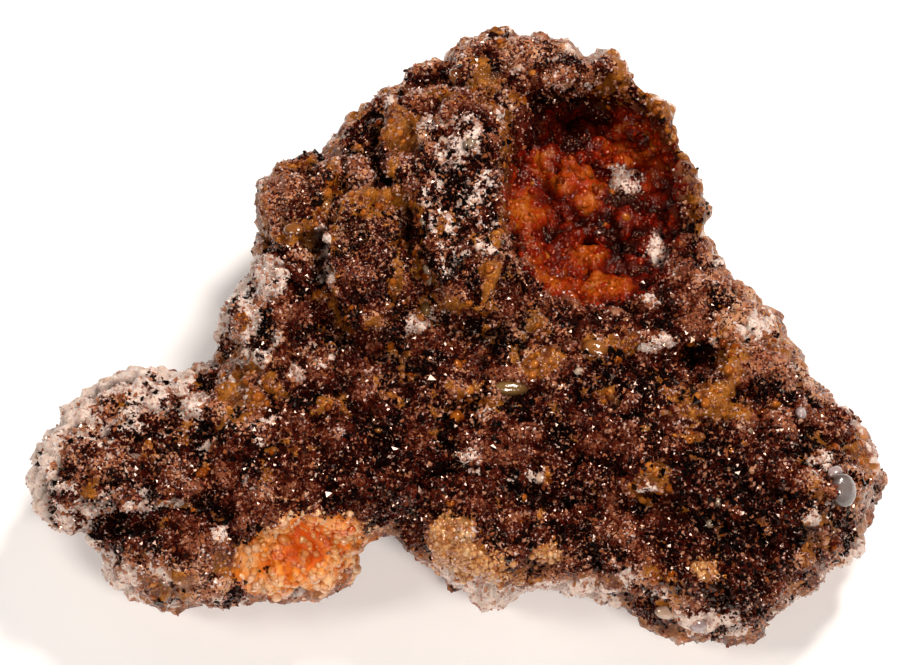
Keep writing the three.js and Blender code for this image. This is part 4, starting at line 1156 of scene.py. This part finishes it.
def bead_piece(name, spots, radius, segments, stacks, sink, flat, foot, crown,
               stretch=1.0, finish=bead_finish):
    """One joined mesh of beads, each of one foot tint that turns to its crown tint on top: a darker
    foot that is partly painted shade where the bead meets the bed, and a paler crown that is
    partly painted light. sink is how deep the middle lies and flat how high the top stands over it,
    in shares of the radius."""
    points, faces, places, facing = beads(spots, radius, segments, stacks, sink, flat, stretch)
    points[:, 2] = np.maximum(points[:, 2], LOWEST)
    each = len(points) // len(spots.at)
    # Painted shade at the foot and painted light on the crown, by how far each point faces outwards.
    share = smoothstep(sink / flat - 0.3, 0.95, facing)[:, None]
    tints = np.repeat(foot, each, 0) * (1 - share) + np.repeat(crown, each, 0) * share
    piece = new_piece(name, points, faces, places, finish, {"tint": tints})
    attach(piece, "root")


spots = Spots(ground.hollow, drawn=12000, kept=1900, gap=0.62, seed=12)
# The hollow's beads take its light: near black where it is dark, which is painted shade, to amber where it
# is lit, partly painted light.
light = spots.ground.light + 0.25 * (spots.rng.random(len(spots.at)) - 0.5)
lumps = chosen_tints(light, (34, 1, 0), (110, 12, 1), (156, 38, 3), (180, 86, 14))
radius = 0.3 + 0.38 * spots.rng.random(len(light)) ** 2
bead_piece("hollow_beads", spots, radius, segments=8, stacks=4, sink=0.36, flat=0.7,
           foot=0.4 * lumps, crown=lumps, finish=deep_bead_finish)

spots = Spots(ground.pocket, drawn=5000, kept=380, gap=0.72, seed=13)
tone = (0.4 * spots.rng.random(len(spots.at)) + 0.8 * (1 - oval(POCKET_CORE, *plane_of(spots.at)))
        + 0.8 * (drift(spots.at, 2.2, 71) - 0.5) + 0.1)
radius = 0.36 + 0.44 * spots.rng.random(len(tone)) ** 2
bead_piece("pocket_beads", spots, radius, segments=12, stacks=6, sink=0.34, flat=0.7,
           foot=chosen_tints(tone, (186, 52, 2), (200, 74, 6), (208, 108, 28), (218, 146, 84)),
           crown=chosen_tints(tone, (220, 100, 16), (230, 132, 38), (236, 172, 96), (240, 202, 164)))

spots = Spots(ground.tan, drawn=6000, kept=560, gap=0.5, seed=14)
tone = spots.rng.random(len(spots.at)) * 0.8 + 0.2 * spots.ground.white
radius = 0.27 + 0.3 * spots.rng.random(len(tone)) ** 2
bead_piece("tan_beads", spots, radius, segments=9, stacks=5, sink=0.4, flat=0.95,
           foot=chosen_tints(tone, (112, 50, 12), (150, 84, 30), (176, 118, 66)),
           crown=chosen_tints(tone, (168, 100, 42), (206, 148, 84), (226, 188, 144)))

glassy = ground.honey * (1 - ground.pocket) * (1 - ground.tan) * (1 - 0.8 * stone_edge)
spots = Spots(glassy, drawn=5000, kept=420, gap=0.9, seed=18)
tone = 0.7 * spots.rng.random(len(spots.at)) + 0.4 * spots.ground.warm
radius = 0.35 + 0.5 * spots.rng.random(len(tone)) ** 2
bead_piece("honey_beads", spots, radius, segments=9, stacks=5, sink=0.3, flat=0.66,
           foot=chosen_tints(tone, (84, 26, 2), (104, 40, 4), (128, 64, 16)),
           crown=chosen_tints(tone, (128, 58, 6), (158, 88, 22), (188, 122, 52)),
           finish=deep_bead_finish)

single = (1 - ground.honey) * (1 - ground.hollow) * (0.2 + ground.warm)
spots = Spots(single, drawn=9000, kept=420, gap=1.8, seed=15)
tone = spots.rng.random(len(spots.at)) * 0.7 + 0.5 * spots.ground.white
radius = 0.25 + 0.35 * spots.rng.random(len(tone))
bead_piece("single_beads", spots, radius, segments=10, stacks=6, sink=0.3, flat=0.66,
           foot=chosen_tints(tone, (96, 40, 20), (150, 94, 62), (196, 168, 154)),
           crown=chosen_tints(tone, (146, 82, 50), (190, 140, 106), (222, 206, 198)))


# The blebs: larger drops of glassy chalcedony at certain places, grey and lilac ones on the right
# lobe and the great rib, olive and honey ones in the field. Each has its middle u and v, radius,
# stretch and colour.
GREY, LILAC, OLIVE = paint(152, 136, 118), paint(176, 166, 172), paint(124, 98, 56)
HONEY, CREAM, SMOKE = paint(150, 98, 46), paint(210, 190, 174), paint(126, 122, 124)
BLEBS = [
    (43.2, -10.1, 0.8, 1, LILAC), (37, -12.1, 0.65, 1, GREY), (48.4, -19.3, 1.9, 1, SMOKE),
    (47.4, -17, 1.1, 1, LILAC), (32.8, -20.5, 0.8, 0.7, GREY), (31.9, -23.4, 0.7, 0.8, GREY),
    (24.1, -12, 0.7, 1.2, HONEY), (16, -4.9, 0.5, 1.6, CREAM), (11, -17.9, 0.7, 1, CREAM),
    (18.2, -1.8, 1.2, 1.3, HONEY), (17.8, -19.1, 0.8, 1, HONEY), (31.2, -29.9, 1.1, 1, HONEY),
    (7.1, -6.9, 1.0, 2.3, OLIVE), (-3.2, 13.8, 0.9, 1, GREY), (-2.7, 8, 0.8, 0.8, GREY),
    (-2.4, 6.4, 0.7, 1, GREY), (-0.6, 24, 0.9, 1.2, CREAM), (2.5, 23.4, 0.8, 1, GREY),
    (0.6, 32.1, 1.1, 1, HONEY), (-3.1, 2.7, 1.6, 0.5, OLIVE), (-19.4, 12.8, 1.2, 1, HONEY),
    (-15.4, 15.9, 0.8, 1, HONEY), (-23.6, 5, 0.8, 1, LILAC), (35.1, -36, 1.0, 1.6, LILAC),
    (26.4, -34.4, 0.9, 1.6, CREAM), (30.6, -35.6, 1, 1.4, LILAC), (-25.5, -8.8, 0.9, 1.6, HONEY),
]


class Marked:
    """The spots of the upper skin that are nearest to given places on the leaning plane."""

    def __init__(self, places, seed):
        upper = np.flatnonzero(stone_wall < 0.5)
        u, v = plane_of(stone_points[upper])
        nearest = [upper[np.argmin(np.hypot(u - mark[0], v - mark[1]))] for mark in places]
        self.at, self.out = stone_points[nearest], stone_normals[nearest]
        self.turn = np.array([[0.0, 1.0, 0.0]] * len(places))
        self.rng = np.random.default_rng(seed)


# Each bleb's foot is a small share of its colour: painted shade where it meets the bed.
bleb_colours = np.array([mark[4][:3] for mark in BLEBS])
radius = np.array([mark[2] for mark in BLEBS])
bead_piece("quartz_blebs", Marked(BLEBS, 16), radius, segments=24, stacks=14, sink=0.26,
           flat=0.7, foot=bleb_colours * [0.3, 0.2, 0.16], crown=bleb_colours,
           stretch=np.array([[mark[3]] for mark in BLEBS]))


# The floor: a plain pale sheet under the stone, which isn't part of it.
floor_finish, tree, shader, _ = new_material("Pale floor")
feed(tree, shader, {
    "Base Color": (0.9, 0.9, 0.9, 1), "Roughness": 0.9, "Specular IOR Level": 0.1,
    "Emission Color": (1, 1, 1, 1), "Emission Strength": 0.2,
})
bpy.ops.mesh.primitive_plane_add(size=4)
floor = bpy.context.object
floor.name = "floor"
floor.data.materials.append(floor_finish)


# Soft studio light: a window behind the stone to the right, a second one in front of it, a bounce
# light on the left, and a pale room.
LOOK_AT = (np.array([0.0, -9.24, 16.0]) + CENTRING) / 1000
LAMP_COLOUR = (1, 0.93, 0.86)


def soft_lamp(name, azimuth, elevation, distance, size, power):
    """A square lamp that faces the stone, at angles in degrees seen from the stone's middle."""
    light = bpy.data.lights.new(name, "AREA")
    light.size, light.energy, light.color = size, power, LAMP_COLOUR
    lamp = bpy.data.objects.new(name, light)
    turn, rise = math.radians(azimuth), math.radians(elevation)
    way = np.array([math.sin(turn) * math.cos(rise), -math.cos(turn) * math.cos(rise), math.sin(rise)])
    lamp.location = LOOK_AT + distance * way
    lamp.rotation_euler = (math.pi / 2 - rise, 0, turn)
    bpy.context.scene.collection.objects.link(lamp)


soft_lamp("window", azimuth=140, elevation=58, distance=0.7, size=0.16, power=5)
soft_lamp("second window", azimuth=20, elevation=48, distance=0.7, size=0.14, power=2.8)
soft_lamp("bounce", azimuth=-65, elevation=45, distance=0.9, size=0.2, power=2.7)
world = bpy.data.worlds.new("pale room")
world.use_nodes = True
feed(world.node_tree, world.node_tree.nodes["Background"], {"Color": (1, 1, 1, 1), "Strength": 0.06})
bpy.context.scene.world = world
bpy.context.scene.view_settings.view_transform = "Standard"


# The camera looks down at 60 degrees from far off, 8 pixels to a millimetre.
LENS_MM = 300
FRAME_WIDTH_MM = 112.4
camera = bpy.data.objects.new("camera", bpy.data.cameras.new("camera"))
camera.data.lens = LENS_MM
camera.data.clip_start, camera.data.clip_end = 0.05, 20
away = FRAME_WIDTH_MM / 1000 * LENS_MM / camera.data.sensor_width
camera.location = LOOK_AT + away * np.array([0, -COS, SIN])
camera.rotation_euler = (math.pi / 2 - PLANE_TILT, 0, 0)
bpy.context.scene.collection.objects.link(camera)
bpy.context.scene.camera = camera
